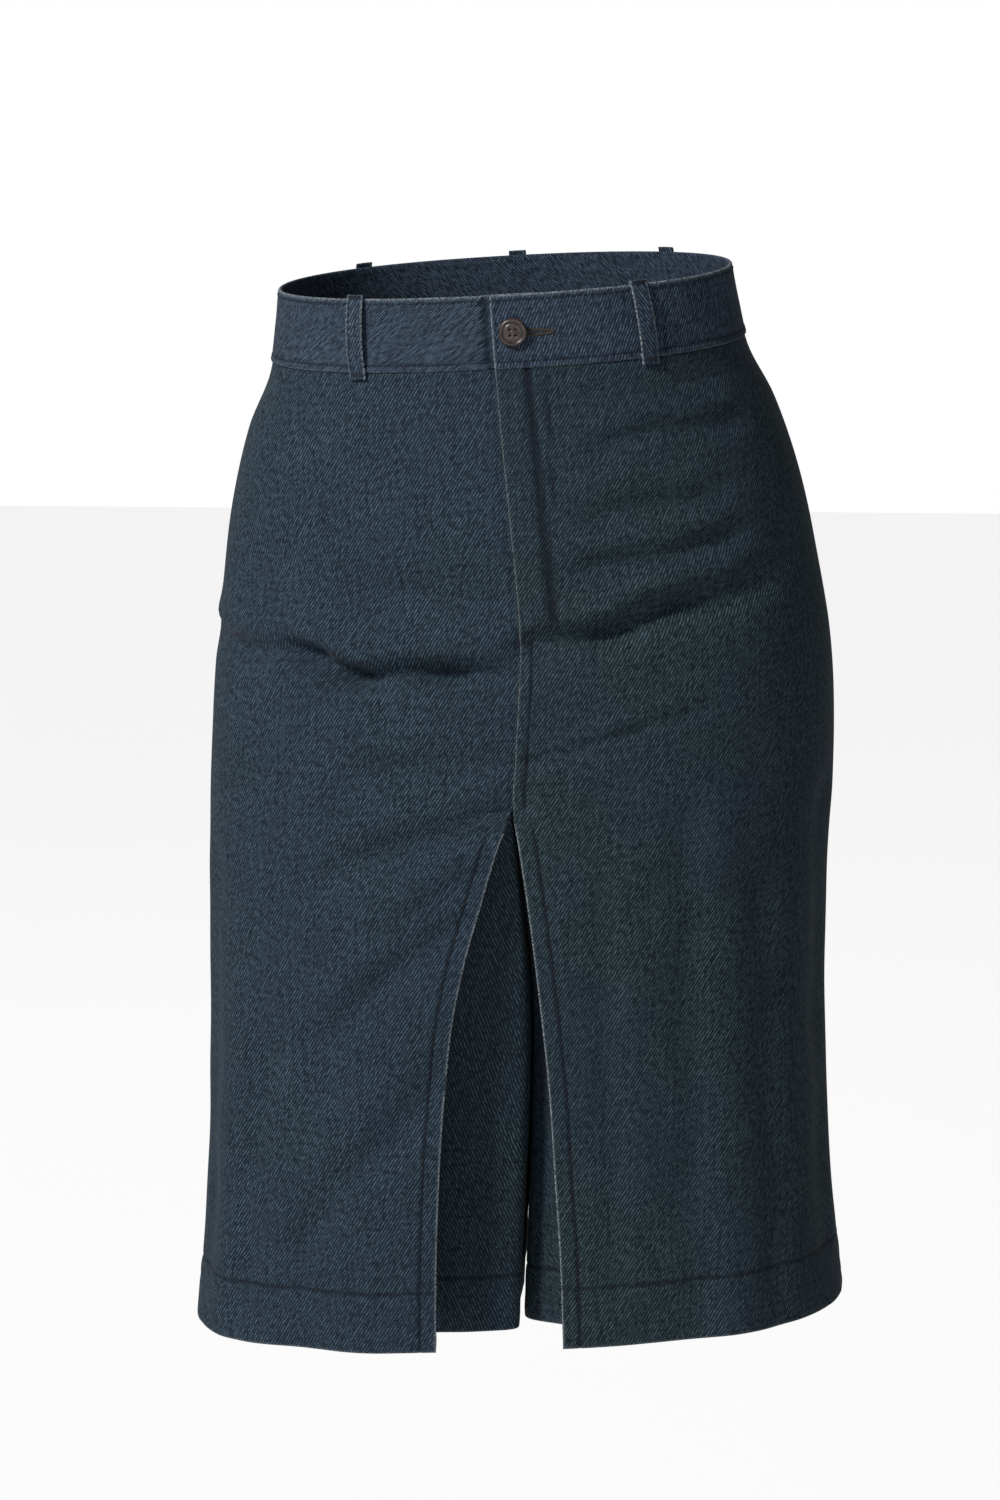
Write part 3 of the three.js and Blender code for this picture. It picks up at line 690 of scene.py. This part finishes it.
def waistband(material):
    """From the lapping end on the wearer's left, round the back, to the end that lies under it."""
    rise = BAND_PROUD - BAND_THICK / 2
    sunk = rise - BAND_THICK - 0.35
    underlap = 28
    points, outs, ins, uvs, wear_and_painted_shade_rows = [], [], [], [], []
    for level in band_rows():
        end = front_edge(LEFT, level)
        full = 2 * half_girth(level)
        start = np.array([0, 0.1, 0.3, 0.6, 1, 1.5, 2.1, 2.8])
        run = np.concatenate([start, np.linspace(4, full - 8, 330), full - 7 + np.linspace(0, 5.4, 7),
                              full - 1.6 + np.linspace(2, underlap, 14)])
        down = ease((run - full + 7) / 5.4)
        past = run - full + 1.6
        edges = np.minimum(run, full - 1.6 + underlap - run)
        ease_rows = rounded(min(BAND_HALF - level, BAND_HALF + level), 1.3)
        half = BAND_THICK / 2 * rounded(edges, 1.1) * ease_rows
        lip = 0.35 * np.exp(-(((level + 19.6) / 1.7) ** 2))
        stitched = groove(level + 17.2, 0.8, 0.35) + groove(level - 17.8, 0.7, 0.25)
        proud = 0.35 * np.exp(-((run / 6) ** 2))
        out = mix(rise, sunk, down) + (lip + stitched + proud) * (past < 0)
        points.append(on_band(level, end + run, out))
        outs.append(half)
        ins.append(half)
        uvs.append(np.stack([end + run + 400, np.full_like(run, level)], -1))
        top = 0.75 * np.exp(-(((BAND_HALF - level) / 1.1) ** 2))
        lap = 0.8 * np.exp(-((run / 0.8) ** 2))
        rubbed = np.maximum(np.maximum(top, lap), 0.3 * np.exp(-(((BAND_HALF + level) / 0.8) ** 2)))
        # Painted shade in the band's stitch grooves, beside real wear on its edges.
        wear_and_painted_shade_rows.append(np.stack([rubbed, np.full_like(run, -stitched / 0.4)], -1))
    return cloth_wall("band_cloth", *[np.array(part) for part in (points, outs, ins, uvs, wear_and_painted_shade_rows)], material)


def fly_strip(material):
    """The plain strip behind the fly."""
    points, outs, ins, uvs, wear_and_painted_shade_rows = [], [], [], [], []
    for level in np.linspace(-22, -186, 70):
        run = np.linspace(-8, 31, 30)
        out = -CLOTH - 0.7 - CLOTH / 2
        across = front_edge(LEFT, level) + run
        points.append(on_garment(level, across, out))
        half = CLOTH / 2 * rounded(np.minimum(run + 8, 31 - run), 0.6)
        outs.append(half)
        ins.append(half)
        uvs.append(np.stack([across, np.full_like(across, level)], -1))
        wear_and_painted_shade_rows.append(np.zeros_like(across))
    return cloth_wall("fly_cloth", *[np.array(part) for part in (points, outs, ins, uvs, wear_and_painted_shade_rows)], material)


LOOP_PATH = ((23.4, 1.7), (22.6, 2.3), (21, 2.6), (19, 2.7), (14, 4.0), (7, 4.7), (0, 4.9), (-7, 4.75),
             (-13, 4.2), (-17.5, 2.9), (-20.5, 2.5), (-24.8, 2.2))


def loop_middle(place, across, lean, level):
    start = half_girth(level) - across if place == "back" else across
    return start - lean * level / 48


def belt_loop(name, place, across, lean, material):
    path = np.array(LOOP_PATH)
    fine = np.linspace(0, len(path) - 1, 60)
    level_at = np.interp(fine, np.arange(len(path)), path[:, 0])
    out_at = np.interp(fine, np.arange(len(path)), path[:, 1])
    for _ in range(6):
        out_at[1:-1] = 0.25 * out_at[:-2] + 0.5 * out_at[1:-1] + 0.25 * out_at[2:]
    half_width = LOOP_WIDTH / 2
    run = np.concatenate([-half_width + np.array([0, 0.1, 0.3, 0.6, 1, 1.5, 2.1]), np.linspace(-2.6, 2.6, 7),
                          half_width - np.array([2.1, 1.5, 1, 0.6, 0.3, 0.1, 0])])
    points, outs, ins, uvs, wear_and_painted_shade_rows = [], [], [], [], []
    for level, out in zip(level_at, out_at):
        middle = loop_middle(place, across, lean, level)
        edge = half_width - np.abs(run)
        sewn = groove(edge - 1.9, 0.5, 0.25)
        pressed = -0.35 * math.exp(-(((level + 22) / 2.4) ** 2))
        points.append(on_band(level, middle + run, out + sewn + pressed))
        half = 0.9 * rounded(edge, 0.9) * rounded(min(23.4 - level, level + 24.8), 0.8)
        outs.append(half)
        ins.append(half)
        slant = -1 if lean else 1
        uvs.append(np.stack([slant * run, np.full_like(run, level)], -1))
        wear_and_painted_shade_rows.append(0.75 * np.exp(-((edge / 0.7) ** 2)))
    return cloth_wall(name.replace("belt_loop", "loop_cloth"),
                      *[np.array(part) for part in (points, outs, ins, uvs, wear_and_painted_shade_rows)], material)


# ---- Thread ----

def thread_mesh(name, dashes, radius, material):
    """Stitches as one mesh: each dash is a small rounded bar between two points, pressed in at its ends."""
    sides = 6
    rings = np.array([
        (0, 0.35, -0.9), (0.1, 0.85, -0.3), (0.3, 1, 0.15),
        (0.7, 1, 0.15), (0.9, 0.85, -0.3), (1, 0.35, -0.9),
    ])
    angle = np.linspace(0, 2 * math.pi, sides, endpoint=False)
    places, faces = [], []
    for start, end, outside in dashes:
        axis = end - start
        axis = axis / max(np.linalg.norm(axis), 1e-9)
        over = np.cross(outside, axis)
        over = over / max(np.linalg.norm(over), 1e-9)
        up = np.cross(axis, over)
        first = len(places)
        for along, size, lift in rings:
            middle = mix(start, end, along) + up * lift * radius
            for a in angle:
                places.append(middle + radius * size * (math.cos(a) * over + math.sin(a) * up))
        for ring in range(len(rings) - 1):
            for k in range(sides):
                a = first + ring * sides + k
                b = first + ring * sides + (k + 1) % sides
                faces.append((a, b, b + sides, a + sides))
        faces.append(tuple(first + k for k in range(sides))[::-1])
        faces.append(tuple(first + (len(rings) - 1) * sides + k for k in range(sides)))
    return add_mesh(name, np.array(places), faces, material)


STITCH = 2.7
STITCH_GAP = 0.9
THREAD = 0.3


def dashes_along(place, run, stitch=STITCH, gap=STITCH_GAP):
    """Stitches along a route. place(distance) gives points, and distance is measured along the route."""
    fine = np.linspace(run[0], run[1], max(8, int(abs(run[1] - run[0]) * 2)))
    points = place(fine)
    lengths = np.concatenate([[0], np.cumsum(np.linalg.norm(np.diff(points, axis=0), axis=1))])
    centre = points.mean(axis=0) * (1, 1, 0)
    found = []
    for start in np.arange(0.3, lengths[-1] - stitch, stitch + gap):
        ends = [
            np.array([np.interp(at, lengths, points[:, k]) for k in range(3)])
            for at in (start, start + stitch)
        ]
        outside = (ends[0] - centre) * (1, 1, 0)
        outside = np.array([outside[0] * 0.35, outside[1], 0]) + 1e-6
        found.append((ends[0], ends[1], outside / np.linalg.norm(outside)))
    return found


def line_points(levels, across, out, surface=on_garment):
    return np.array([surface(level, np.array([a]), out)[0] for level, a in zip(levels, across)])


def level_line(level, start, end, out, surface=on_garment):
    return dashes_along(lambda at: surface(level, at, out), (start, end))


def upright_line(top, foot, across_at, out, surface=on_garment):
    return dashes_along(lambda at: line_points(-at, [across_at(-v) for v in at], out, surface), (-top, -foot))


def front_stitches(side):
    def pleat_line(level):
        return front_edge(side, level) + side * (SEAM + 10)
    edge_line = upright_line(CROTCH_LEVEL - 2, HEM_LEVEL + 2, pleat_line, -0.1)
    hem_start = front_edge(side, HEM_STITCH_LEVEL) + side * 1.5
    hem_line = level_line(HEM_STITCH_LEVEL, hem_start, side * (side_seam(HEM_STITCH_LEVEL) - 1), -0.15)
    return edge_line + hem_line


def back_stitches(side):
    half = half_girth(HEM_STITCH_LEVEL)
    hem = level_line(HEM_STITCH_LEVEL, side * (side_seam(HEM_STITCH_LEVEL) + 1), side * (half - 5), -0.15)
    if side == RIGHT:
        return hem
    seam = upright_line(-24, CROTCH_LEVEL + 4, lambda level: half_girth(level) - 6.5, -0.1)
    return hem + seam


def fly_stitches():
    path = np.array(FLY_LINE, float)
    lengths = np.concatenate([[0], np.cumsum(np.linalg.norm(np.diff(path, axis=0), axis=1))])

    def place(at):
        across = np.interp(at, lengths, path[:, 0])
        level = np.interp(at, lengths, path[:, 1])
        return line_points(level, across, 0.02)

    curve = dashes_along(place, (0, lengths[-1]))
    below = upright_line(-186, CROTCH_LEVEL + 2, lambda level: front_edge(LEFT, level) + 7, -0.02)
    return curve + below


def band_stitches():
    end = front_edge(LEFT, 0) + 2.4
    full = 2 * half_girth(0) - 4
    rows = [level_line(level, end, end + full, BAND_PROUD + 0.02, on_band) for level in (17.8, -17.2)]
    turned = dashes_along(
        lambda at: line_points(at, [front_edge(LEFT, v) + 2.4 for v in at], BAND_PROUD + 0.3, on_band),
        (-17, 17))
    return rows[0] + rows[1] + turned


def pleat_stitches(side):
    """The hem line of a pleat's underlay."""
    path = softened(pleat_path(side, HEM_STITCH_LEVEL), 9)
    tangent = np.gradient(path, axis=0)
    tangent /= np.linalg.norm(tangent, axis=1, keepdims=True)
    outside = np.stack([tangent[:, 1], -tangent[:, 0]], -1) * -side
    path = path + outside * (CLOTH / 2 - 0.35)
    length = np.concatenate([[0], np.cumsum(np.linalg.norm(np.diff(path, axis=0), axis=1))])

    def place(at):
        x, y = np.interp(at, length, path[:, 0]), np.interp(at, length, path[:, 1])
        return worn(x, y, below_crotch(HEM_STITCH_LEVEL, y))

    first = length[31]
    last = length[-29]
    return dashes_along(place, (first, last))


def bar_tack(level, across, wide, tall, out, surface=on_band, rows=9):
    """A short dense zigzag, as a column of bars across."""
    found = []
    for k in range(rows):
        z = level + tall * (k / (rows - 1) - 0.5)
        pair = surface(z, np.array([across - wide / 2, across + wide / 2]), out)
        outside = pair.mean(axis=0) * (0.4, 1, 0)
        found.append((pair[0], pair[1], outside / np.linalg.norm(outside)))
    return found


def loop_stitches():
    found = []
    for _, place, across, lean in LOOPS:
        for level, out in ((22.2, 3.45), (-21.6, 3.15)):
            middle = loop_middle(place, across, lean, level)
            found += bar_tack(level, middle, 8.2, 1.5, out, rows=4)
        for offset in (-3.4, 3.4):
            path = np.array(LOOP_PATH)

            def place_at(at, offset=offset, place=place, across=across, lean=lean):
                out = np.interp(-at, path[::-1, 0], path[::-1, 1]) + 0.72
                middle = np.array([loop_middle(place, across, lean, -v) for v in at]) + offset
                return np.array([on_band(-v, np.array([m]), o)[0] for v, m, o in zip(at, middle, out)])

            found += dashes_along(place_at, (-20, 20))
    return found


def buttonhole(material):
    """Radial stitches round the slit."""
    long, tall = 12.0, 2.4
    centre = BUTTON_ACROSS + long
    found = []
    for k in range(96):
        angle = 2 * math.pi * k / 96
        across = centre + np.array([(long - 1.9) * math.cos(angle), long * math.cos(angle)])
        low = on_band(-1 + 0.5 * math.sin(angle), across[:1], BAND_PROUD + 0.35)[0]
        high = on_band(-1 + tall * math.sin(angle), across[1:], BAND_PROUD + 0.1)[0]
        found.append((low, high, np.array([0.1, -1, 0])))
    return thread_mesh("buttonhole_thread", found, 0.34, material)


# ---- Button ----

BUTTON_PROFILE = (
    (0, 0), (6.6, 0), (7.6, 0.3), (8.15, 0.9), (8.3, 1.6), (8.15, 2.4),
    (7.7, 3.05), (7.1, 3.35), (6.5, 3.3), (6.1, 3.0), (5.85, 2.65), (5.6, 2.5),
    (5.3, 2.55), (5.05, 2.8), (4.7, 2.95), (3.6, 2.8), (2, 2.6), (0, 2.5),
)


def stand_on_band(piece, across, out):
    """Turns a flat piece to face out of the band and puts it there."""
    here = on_band(0, np.array([across]), out)[0]
    outside = on_band(0, np.array([across]), out + 10)[0] - here
    outside /= np.linalg.norm(outside)
    up = on_band(8, np.array([across]), out)[0] - on_band(-8, np.array([across]), out)[0]
    side = np.cross(up, outside)
    side /= np.linalg.norm(side)
    up = np.cross(outside, side)
    turn = Matrix([[side[k], up[k], outside[k], here[k] * MM] for k in range(3)] + [[0, 0, 0, 1]])
    piece.data.transform(turn)


def turned_mesh(name, profile, steps, material):
    places = [(0, 0, profile[0][1])]
    faces = []
    for radius, height in profile[1:-1]:
        places += [(radius * math.cos(a), radius * math.sin(a), height)
                   for a in np.linspace(0, 2 * math.pi, steps, endpoint=False)]
    places.append((0, 0, profile[-1][1]))
    last = len(places) - 1
    rings = len(profile) - 2
    for k in range(steps):
        after = (k + 1) % steps
        faces.append((0, 1 + after, 1 + k))
        for ring in range(rings - 1):
            a, b = 1 + ring * steps + k, 1 + ring * steps + after
            faces.append((a, b, b + steps, a + steps))
        top = 1 + (rings - 1) * steps
        faces.append((top + k, top + after, last))
    return add_mesh(name, np.array(places, float), faces, material)


HOLES = ((-1.6, -1.6), (1.6, -1.6), (-1.6, 1.6), (1.6, 1.6))


def button(material, thread):
    disc = turned_mesh("button_disc", BUTTON_PROFILE, 72, material)
    for x, y in HOLES:
        drill = turned_mesh("drill", ((0, -1), (0.75, -1), (0.75, 4), (0, 4)), 20, material)
        drill.data.transform(Matrix.Translation((x * MM, y * MM, 0)))
        cut = disc.modifiers.new("hole", "BOOLEAN")
        cut.operation = "DIFFERENCE"
        cut.object = drill
        bpy.context.view_layer.objects.active = disc
        bpy.ops.object.modifier_apply(modifier=cut.name)
        bpy.data.objects.remove(drill)
    stand_on_band(disc, BUTTON_ACROSS, BAND_PROUD + 1.5)
    bars = [(np.array([x, -1.6, 2.55]), np.array([x, 1.6, 2.55]), np.array([0, 0, 1.0]))
            for x in (-1.85, -1.6, -1.35, 1.35, 1.6, 1.85)]
    sewn = thread_mesh("button_thread", bars, 0.2, thread)
    stand_on_band(sewn, BUTTON_ACROSS, BAND_PROUD + 1.5)
    return disc, sewn


# ---- Materials ----

def linear(colour):
    """A screen colour of 0 to 255 as the shader's linear colour."""
    def one(value):
        value /= 255
        return value / 12.92 if value <= 0.04045 else ((value + 0.055) / 1.055) ** 2.4
    return (*[one(value) for value in colour], 1.0)


class Nodes:
    """A short way to build a material's nodes."""

    def __init__(self, name):
        self.material = bpy.data.materials.new(name)
        self.material.use_nodes = True
        self.tree = self.material.node_tree
        self.shader = self.tree.nodes["Principled BSDF"]

    def node(self, kind, **settings):
        made = self.tree.nodes.new(kind)
        for key, value in settings.items():
            setattr(made, key, value)
        return made

    def link(self, output, socket):
        self.tree.links.new(output, socket)

    def math(self, operation, first, second=0.0, third=0.0):
        made = self.node("ShaderNodeMath", operation=operation)
        for socket, value in zip(made.inputs, (first, second, third)):
            if isinstance(value, (int, float)):
                socket.default_value = value
            else:
                self.link(value, socket)
        return made.outputs[0]

    def noise(self, vector, scale, detail=2.0, roughness=0.5):
        made = self.node("ShaderNodeTexNoise")
        made.inputs["Scale"].default_value = scale
        made.inputs["Detail"].default_value = detail
        made.inputs["Roughness"].default_value = roughness
        self.link(vector, made.inputs["Vector"])
        return made.outputs["Fac"]

    def vector(self, x, y, z=0.0):
        made = self.node("ShaderNodeCombineXYZ")
        for socket, value in zip(made.inputs, (x, y, z)):
            if isinstance(value, (int, float)):
                socket.default_value = value
            else:
                self.link(value, socket)
        return made.outputs[0]

    def ramp(self, value, low, high):
        made = self.node("ShaderNodeMapRange")
        made.inputs["From Min"].default_value = low
        made.inputs["From Max"].default_value = high
        self.link(value, made.inputs["Value"])
        return made.outputs[0]

    def blend(self, factor, first, second):
        made = self.node("ShaderNodeMix", data_type="RGBA")
        if isinstance(factor, (int, float)):
            made.inputs["Factor"].default_value = factor
        else:
            self.link(factor, made.inputs["Factor"])
        for socket, value in ((made.inputs[6], first), (made.inputs[7], second)):
            if isinstance(value, tuple):
                socket.default_value = value
            else:
                self.link(value, socket)
        return made.outputs[2]


TWILL_PITCH = 0.0017


def denim(name, dark, light, twill_degrees=58, fleck=1.0):
    """Twill: light weft ridges on the slant over a dark warp, slubs, a slow change of tint, worn edges and
    painted shade in the sewn grooves.
    """
    n = Nodes(name)
    uv = n.node("ShaderNodeUVMap", uv_map="cloth").outputs[0]
    split = n.node("ShaderNodeSeparateXYZ")
    n.link(uv, split.inputs[0])
    u, v = split.outputs[0], split.outputs[1]
    angle = math.radians(twill_degrees)
    sine, cosine = math.sin(angle), math.cos(angle)
    across = n.math("SUBTRACT", n.math("MULTIPLY", u, sine), n.math("MULTIPLY", v, cosine))
    along = n.math("ADD", n.math("MULTIPLY", u, cosine), n.math("MULTIPLY", v, sine))
    wander = n.noise(n.vector(u, v), 160.0, 2.0)
    shifted = n.math("ADD", across, n.math("MULTIPLY", wander, 0.0011))
    wave = n.math("SINE", n.math("MULTIPLY", shifted, 2 * math.pi / TWILL_PITCH))
    line = n.ramp(wave, -0.35, 0.95)
    broken = n.noise(n.vector(across, n.math("MULTIPLY", along, 0.42)), 620.0, 3.0, 0.7)
    flecks = n.ramp(broken, 0.40, 0.66)
    slub = n.ramp(n.noise(n.vector(u, n.math("MULTIPLY", v, 0.05)), 480.0, 2.0), 0.35, 0.7)
    weft = n.ramp(n.noise(n.vector(n.math("MULTIPLY", u, 0.06), v), 540.0, 2.0), 0.35, 0.75)
    shade = n.math("MULTIPLY", line, flecks)
    shade = n.math("ADD", n.math("MULTIPLY", shade, 1.15 * fleck), n.math("MULTIPLY", slub, 0.10))
    shade = n.math("ADD", shade, n.math("MULTIPLY", weft, 0.10))
    base = n.blend(shade, dark, light)
    tint = n.ramp(n.noise(n.vector(u, v), 9.0, 3.0), 0.38, 0.66)
    tinted = n.blend(n.math("MULTIPLY", tint, 0.5), base, n.blend(0.35, base, linear((34, 40, 66))))
    patch = n.ramp(n.noise(n.vector(u, v), 26.0, 4.0), 0.35, 0.7)
    tinted = n.blend(n.math("MULTIPLY", patch, 0.2), tinted, linear((20, 30, 36)))
    # Red channel: real wear on edges and hems. Green channel: painted shade in the sewn grooves.
    marks = n.node("ShaderNodeSeparateColor")
    n.link(n.node("ShaderNodeVertexColor", layer_name="wear_and_painted_shade").outputs[0], marks.inputs[0])
    wear_and_painted_shade = marks.outputs[0]
    # Painted shade: darker colour laid into the sewn grooves.
    tinted = n.blend(n.math("MULTIPLY", marks.outputs[1], 0.75), tinted, linear((13, 17, 24)))
    rubbed = n.ramp(n.noise(n.vector(u, v), 900.0, 3.0, 0.7), 0.40, 0.62)
    worn_edge = n.math("MULTIPLY", wear_and_painted_shade, rubbed)
    colour = n.blend(n.math("MULTIPLY", worn_edge, 0.85), tinted, linear((150, 158, 162)))
    n.link(colour, n.shader.inputs["Base Color"])
    n.shader.inputs["Roughness"].default_value = 0.88
    n.shader.inputs["Specular IOR Level"].default_value = 0.08
    n.shader.inputs["Sheen Weight"].default_value = 0.02
    n.shader.inputs["Sheen Roughness"].default_value = 0.45
    height = n.math("ADD", n.math("MULTIPLY", line, 0.55), n.math("MULTIPLY", broken, 0.8))
    bump = n.node("ShaderNodeBump")
    bump.inputs["Strength"].default_value = 0.45
    bump.inputs["Distance"].default_value = 0.00022
    n.link(height, bump.inputs["Height"])
    n.link(bump.outputs[0], n.shader.inputs["Normal"])
    return n.material


def thread_material(name, colour):
    """Spun thread: fine noise in its colour."""
    n = Nodes(name)
    place = n.node("ShaderNodeTexCoord").outputs["Object"]
    grain = n.ramp(n.noise(place, 1400.0, 2.0), 0.3, 0.7)
    paler = tuple(min(255, c * 1.5) for c in colour)
    n.link(n.blend(grain, linear(colour), linear(paler)), n.shader.inputs["Base Color"])
    n.shader.inputs["Roughness"].default_value = 0.75
    n.shader.inputs["Specular IOR Level"].default_value = 0.3
    return n.material


def horn_material():
    """Dark brown horn: cloudy streaks and a satin polish."""
    n = Nodes("horn")
    place = n.node("ShaderNodeTexCoord").outputs["Object"]
    cloud = n.ramp(n.noise(place, 260.0, 4.0), 0.35, 0.7)
    n.link(n.blend(cloud, linear((30, 23, 22)), linear((62, 49, 45))), n.shader.inputs["Base Color"])
    n.shader.inputs["Roughness"].default_value = 0.32
    bump = n.node("ShaderNodeBump")
    bump.inputs["Strength"].default_value = 0.15
    bump.inputs["Distance"].default_value = 0.0002
    n.link(n.noise(place, 1500.0, 2.0), bump.inputs["Height"])
    n.link(bump.outputs[0], n.shader.inputs["Normal"])
    return n.material


# ---- Stage ----

def white_surface(name, own_share):
    """White to the camera and in reflections, with a share of its own shading so that a shadow shows."""
    material = bpy.data.materials.new(name)
    material.use_nodes = True
    tree = material.node_tree
    tree.nodes.clear()
    output = tree.nodes.new("ShaderNodeOutputMaterial")
    diffuse = tree.nodes.new("ShaderNodeBsdfDiffuse")
    diffuse.inputs["Color"].default_value = (0.8, 0.8, 0.8, 1)
    glow = tree.nodes.new("ShaderNodeEmission")
    glow.inputs["Strength"].default_value = 1.0
    path = tree.nodes.new("ShaderNodeLightPath")
    seen = tree.nodes.new("ShaderNodeMath")
    seen.operation = "MAXIMUM"
    tree.links.new(path.outputs["Is Camera Ray"], seen.inputs[0])
    tree.links.new(path.outputs["Is Glossy Ray"], seen.inputs[1])
    share = tree.nodes.new("ShaderNodeMath")
    share.operation = "MULTIPLY"
    share.inputs[1].default_value = 1 - own_share
    tree.links.new(seen.outputs[0], share.inputs[0])
    joined = tree.nodes.new("ShaderNodeMixShader")
    tree.links.new(share.outputs[0], joined.inputs[0])
    tree.links.new(diffuse.outputs[0], joined.inputs[1])
    tree.links.new(glow.outputs[0], joined.inputs[2])
    tree.links.new(joined.outputs[0], output.inputs[0])
    return material


FLOOR_Z = -1.02
FLOOR_HALF = 9.0


def stage():
    """A pale floor with the pale world above it, so that no side of the garment is hidden."""
    places = [(x, y, FLOOR_Z) for y in (-FLOOR_HALF, FLOOR_HALF) for x in (-FLOOR_HALF, FLOOR_HALF)]
    faces = [(0, 1, 3, 2)]
    mesh = bpy.data.meshes.new("backdrop")
    mesh.from_pydata(places, [], faces)
    mesh.polygons.foreach_set("use_smooth", [True] * len(mesh.polygons))
    mesh.materials.append(white_surface("white_stage", 0.12))
    backdrop = bpy.data.objects.new("backdrop", mesh)
    bpy.context.scene.collection.objects.link(backdrop)


def area_light(name, place, size, power, colour=(1, 1, 1)):
    light = bpy.data.lights.new(name, "AREA")
    light.size = size
    light.energy = power
    light.color = colour
    lamp = bpy.data.objects.new(name, light)
    lamp.location = place
    aim = Vector((0, 0, -0.3)) - Vector(place)
    lamp.rotation_euler = aim.to_track_quat("-Z", "Y").to_euler()
    bpy.context.scene.collection.objects.link(lamp)


def lights():
    area_light("key", (-2.3, -2.3, 2.2), 0.9, 205, (1.0, 0.985, 0.97))
    area_light("fill", (0.8, -3.2, 0.3), 2.2, 22, (0.95, 0.97, 1.0))
    area_light("rim", (-0.8, 2.4, 1.6), 1.6, 34)
    world = bpy.data.worlds.new("studio")
    bpy.context.scene.world = world
    world.use_nodes = True
    ground = world.node_tree.nodes["Background"]
    ground.inputs["Color"].default_value = (1, 1, 1, 1)
    path = world.node_tree.nodes.new("ShaderNodeLightPath")
    strength = world.node_tree.nodes.new("ShaderNodeMapRange")
    strength.inputs["To Min"].default_value = 0.15
    strength.inputs["To Max"].default_value = 1.0
    world.node_tree.links.new(path.outputs["Is Camera Ray"], strength.inputs["Value"])
    world.node_tree.links.new(strength.outputs[0], ground.inputs["Strength"])


def camera():
    """At the photo's angle: a little to the wearer's left, above the waist and looking down."""
    azimuth = math.radians(4.5)
    distance, above = 2.3, 0.11
    downward = math.radians(9.28)
    turn = azimuth + math.radians(0.075)
    data = bpy.data.cameras.new("camera")
    data.lens = 92.1
    data.sensor_width = 36
    viewer = bpy.data.objects.new("camera", data)
    viewer.location = (math.sin(azimuth) * distance, -math.cos(azimuth) * distance, above)
    level_part = math.cos(downward)
    facing = Vector((-math.sin(turn) * level_part, math.cos(turn) * level_part, -math.sin(downward)))
    viewer.rotation_euler = facing.to_track_quat("-Z", "Y").to_euler()
    bpy.context.scene.collection.objects.link(viewer)
    bpy.context.scene.camera = viewer


# ---- Assembly ----

def declare(piece, node):
    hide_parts(node)


def build():
    # Copies of one denim: the wearer's right side painted lighter as if lit by the key, and the wearer's left
    # side and the underlay painted darker as shade.
    painted_lit_cloth = denim("denim_right_side_painted_lit", linear((14, 22, 29)), linear((68, 86, 98)))
    painted_shade_cloth = denim("denim_left_side_painted_shade", linear((13, 21, 25)), linear((66, 84, 90)))
    painted_shade_under_cloth = denim("denim_underlay_painted_shade", linear((13, 21, 26)), linear((66, 84, 92)))
    band_denim = denim("denim_band", linear((17, 24, 34)), linear((82, 98, 114)), 66)
    loop_denim = denim("denim_loop", linear((17, 24, 34)), linear((82, 98, 114)), 62)
    navy = thread_material("thread_navy", (15, 19, 27))
    olive = thread_material("thread_olive", (38, 35, 30))

    pieces = {
        "front_right": front_panel("front_cloth_right", RIGHT, painted_lit_cloth),
        "front_left": front_panel("front_cloth_left", LEFT, painted_shade_cloth),
        "back_right": back_panel("back_cloth_right", RIGHT, painted_lit_cloth),
        "back_left": back_panel("back_cloth_left", LEFT, painted_shade_cloth),
        "pleat_right": pleat("pleat_cloth_right", RIGHT, painted_shade_under_cloth),
        "pleat_left": pleat("pleat_cloth_left", LEFT, painted_shade_under_cloth),
        "waistband": waistband(band_denim),
        "fly_shield": fly_strip(painted_shade_under_cloth),
    }
    for node, piece in pieces.items():
        declare(piece, node)
    for name, place, across, lean in LOOPS:
        declare(belt_loop(name, place, across, lean, loop_denim), name)

    seams = {
        "stitches_front": front_stitches(RIGHT) + front_stitches(LEFT) + fly_stitches(),
        "stitches_back": back_stitches(RIGHT) + back_stitches(LEFT),
        "stitches_pleats": pleat_stitches(RIGHT) + pleat_stitches(LEFT),
        "stitches_band": band_stitches(),
        "stitches_loops": loop_stitches(),
        "stitches_fly_end": bar_tack(-186, 9.5, 7, 1.6, 0.15, on_garment),
    }
    for name, dashes in seams.items():
        thread_mesh(name, dashes, THREAD, navy)

    disc, sewn = button(horn_material(), olive)
    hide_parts("button")
    hole = buttonhole(olive)
    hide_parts("buttonhole")


bpy.context.scene.view_settings.view_transform = "Standard"
camera()
stage()
lights()
build()
